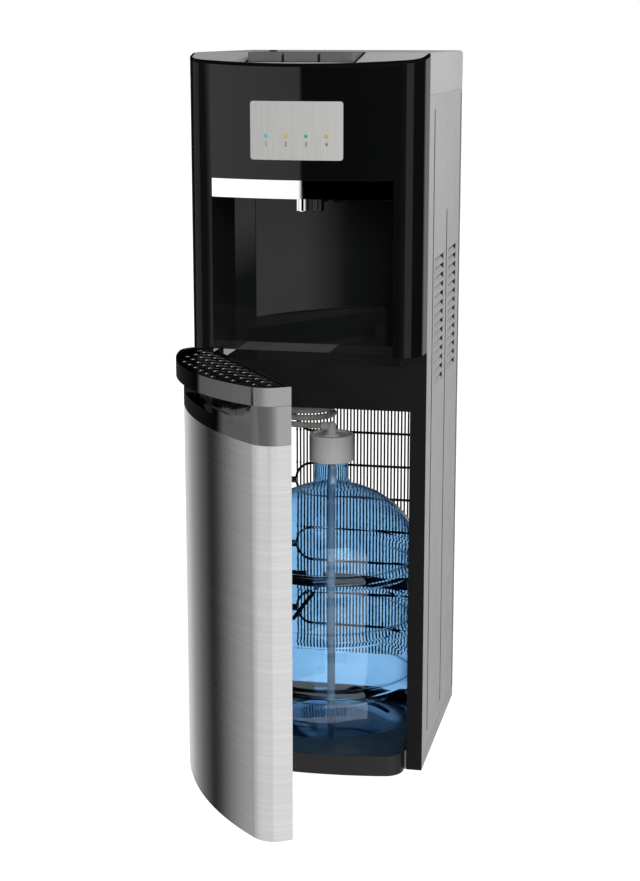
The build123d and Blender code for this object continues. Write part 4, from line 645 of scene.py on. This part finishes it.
# Brightness by compass direction: 0 degrees is straight out from the cooler's
# front and 90 its right. One ring is for the door's steel, and higher ones for
# the bowed panel, the door's lip and its cap; over these the room is dark.
STEEL_RING = (
    (-180, 0.8), (-160, 0.78), (-148, 0.62), (-141, 0.38), (-131, 0.16), (-121, 0.02), (-116, 0.05),
    (-101, 0.38), (-90, 0.56), (-60, 0.8), (-40, 0.84), (4, 0.86), (9, 1.0), (84, 1.0), (88, 0.4), (180, 0.8))
PANEL_RING = (
    (-180, 0.1), (-112, 0.0), (-109, 0.35), (-70, 0.55), (-67, 0.08), (-54, 0.08), (-53, 1.35),
    (-12.3, 1.08), (-11.7, 0.0), (30.8, 0.0), (31.8, 0.82), (64, 0.75), (69, 0.0), (138, 0.0), (152, 0.55),
    (180, 0.6))
LIP_RING = (
    (-180, 0.0), (-131, 0.0), (-128, 0.06), (-106, 0.08), (-103, 0.45), (-69, 0.6), (-18, 1.0), (3, 1.5),
    (23, 1.65), (75, 1.7), (80, 0.0), (180, 0.0))
CAP_RING = (
    (-180, 0.0), (-113, 0.0), (-111, 0.25), (-90, 0.4), (-45, 0.48), (-10, 0.55), (10, 0.8), (25, 1.2),
    (40, 1.7), (75, 1.7), (80, 0.0), (180, 0.0))
DARK = (-180, 0.0), (180, 0.0)
# Each ring takes over from the one below between these sines of elevation.
RINGS = (-0.186, -0.182, PANEL_RING), (0.030, 0.040, LIP_RING), (0.130, 0.140, CAP_RING), (0.250, 0.600, DARK)

world = bpy.data.worlds.new("studio")
bpy.context.scene.world = world
world.use_nodes = True
world.cycles.sampling_method = "NONE"
tree = world.node_tree
tree.nodes.clear()
heading = add(tree, "ShaderNodeSeparateXYZ", {0: add(tree, "ShaderNodeTexCoord")["Generated"]})
forward = add(tree, "ShaderNodeMath", {0: heading[1], 1: -1.0}, operation="MULTIPLY")[0]
compass = add(tree, "ShaderNodeMath", {0: heading[0], 1: forward}, operation="ARCTAN2")[0]
share = add(tree, "ShaderNodeMapRange", {"Value": compass, "From Min": -math.pi, "From Max": math.pi})[0]
room = None
for below, above, ring in ((0, 0, STEEL_RING), *RINGS):
    screens = add(tree, "ShaderNodeValToRGB", {"Fac": share},
                  stops=[((degrees + 180) / 360, level) for degrees, level in ring])[0]
    if room:
        height = add(tree, "ShaderNodeMapRange", {
            "Value": heading[2], "From Min": below, "From Max": above})[0]
        screens = add(tree, "ShaderNodeMix", {
            "Factor": height, "A": room, "B": screens}, data_type="RGBA")["Result"]
    room = screens
seen = add(tree, "ShaderNodeLightPath")
direct = add(tree, "ShaderNodeMath", {
    0: seen["Is Camera Ray"], 1: seen["Is Transmission Ray"]}, operation="MAXIMUM")[0]
strength = add(tree, "ShaderNodeMath", {
    0: direct, 1: 1 - ROOM_LIGHT, 2: ROOM_LIGHT}, operation="MULTIPLY_ADD")[0]
even = add(tree, "ShaderNodeBackground", {"Color": (1, 1, 1, 1), "Strength": strength})[0]
around = add(tree, "ShaderNodeBackground", {"Color": room, "Strength": 1.0})[0]
mirrored = add(tree, "ShaderNodeMath", {
    0: seen["Is Glossy Ray"], 1: seen["Is Transmission Ray"]}, operation="SUBTRACT", use_clamp=True)[0]
both = add(tree, "ShaderNodeMixShader", {0: mirrored, 1: even, 2: around})[0]
add(tree, "ShaderNodeOutputWorld", {"Surface": both})

# ---------------------------------------------------------------------------
# Studio lamps: two large soft ones, by the right side and over the camera's
# right shoulder, that shiny surfaces don't see.
# ---------------------------------------------------------------------------
# Each lamp's place, the point it is aimed at, its size and its power in watts.
LAMPS = {
    "right_lamp": ((1.15, 0.02, 1.72), (0.29, 0.13, 0.85), 0.5, 8),
    "front_lamp": ((1.1, -2.2, 1.5), (0.1, -0.1, 0.8), 1.4, 26)}

for name, (place, aim, size, watts) in LAMPS.items():
    lamp = bpy.data.objects.new(name, bpy.data.lights.new(name, "AREA"))
    bpy.context.scene.collection.objects.link(lamp)
    lamp.data.size = size
    lamp.data.energy = watts
    lamp.location = place
    lamp.rotation_euler = (Vector(aim) - Vector(place)).to_track_quat("-Z", "Y").to_euler()
    lamp.visible_glossy = False

bpy.context.scene.view_settings.view_transform = "Standard"
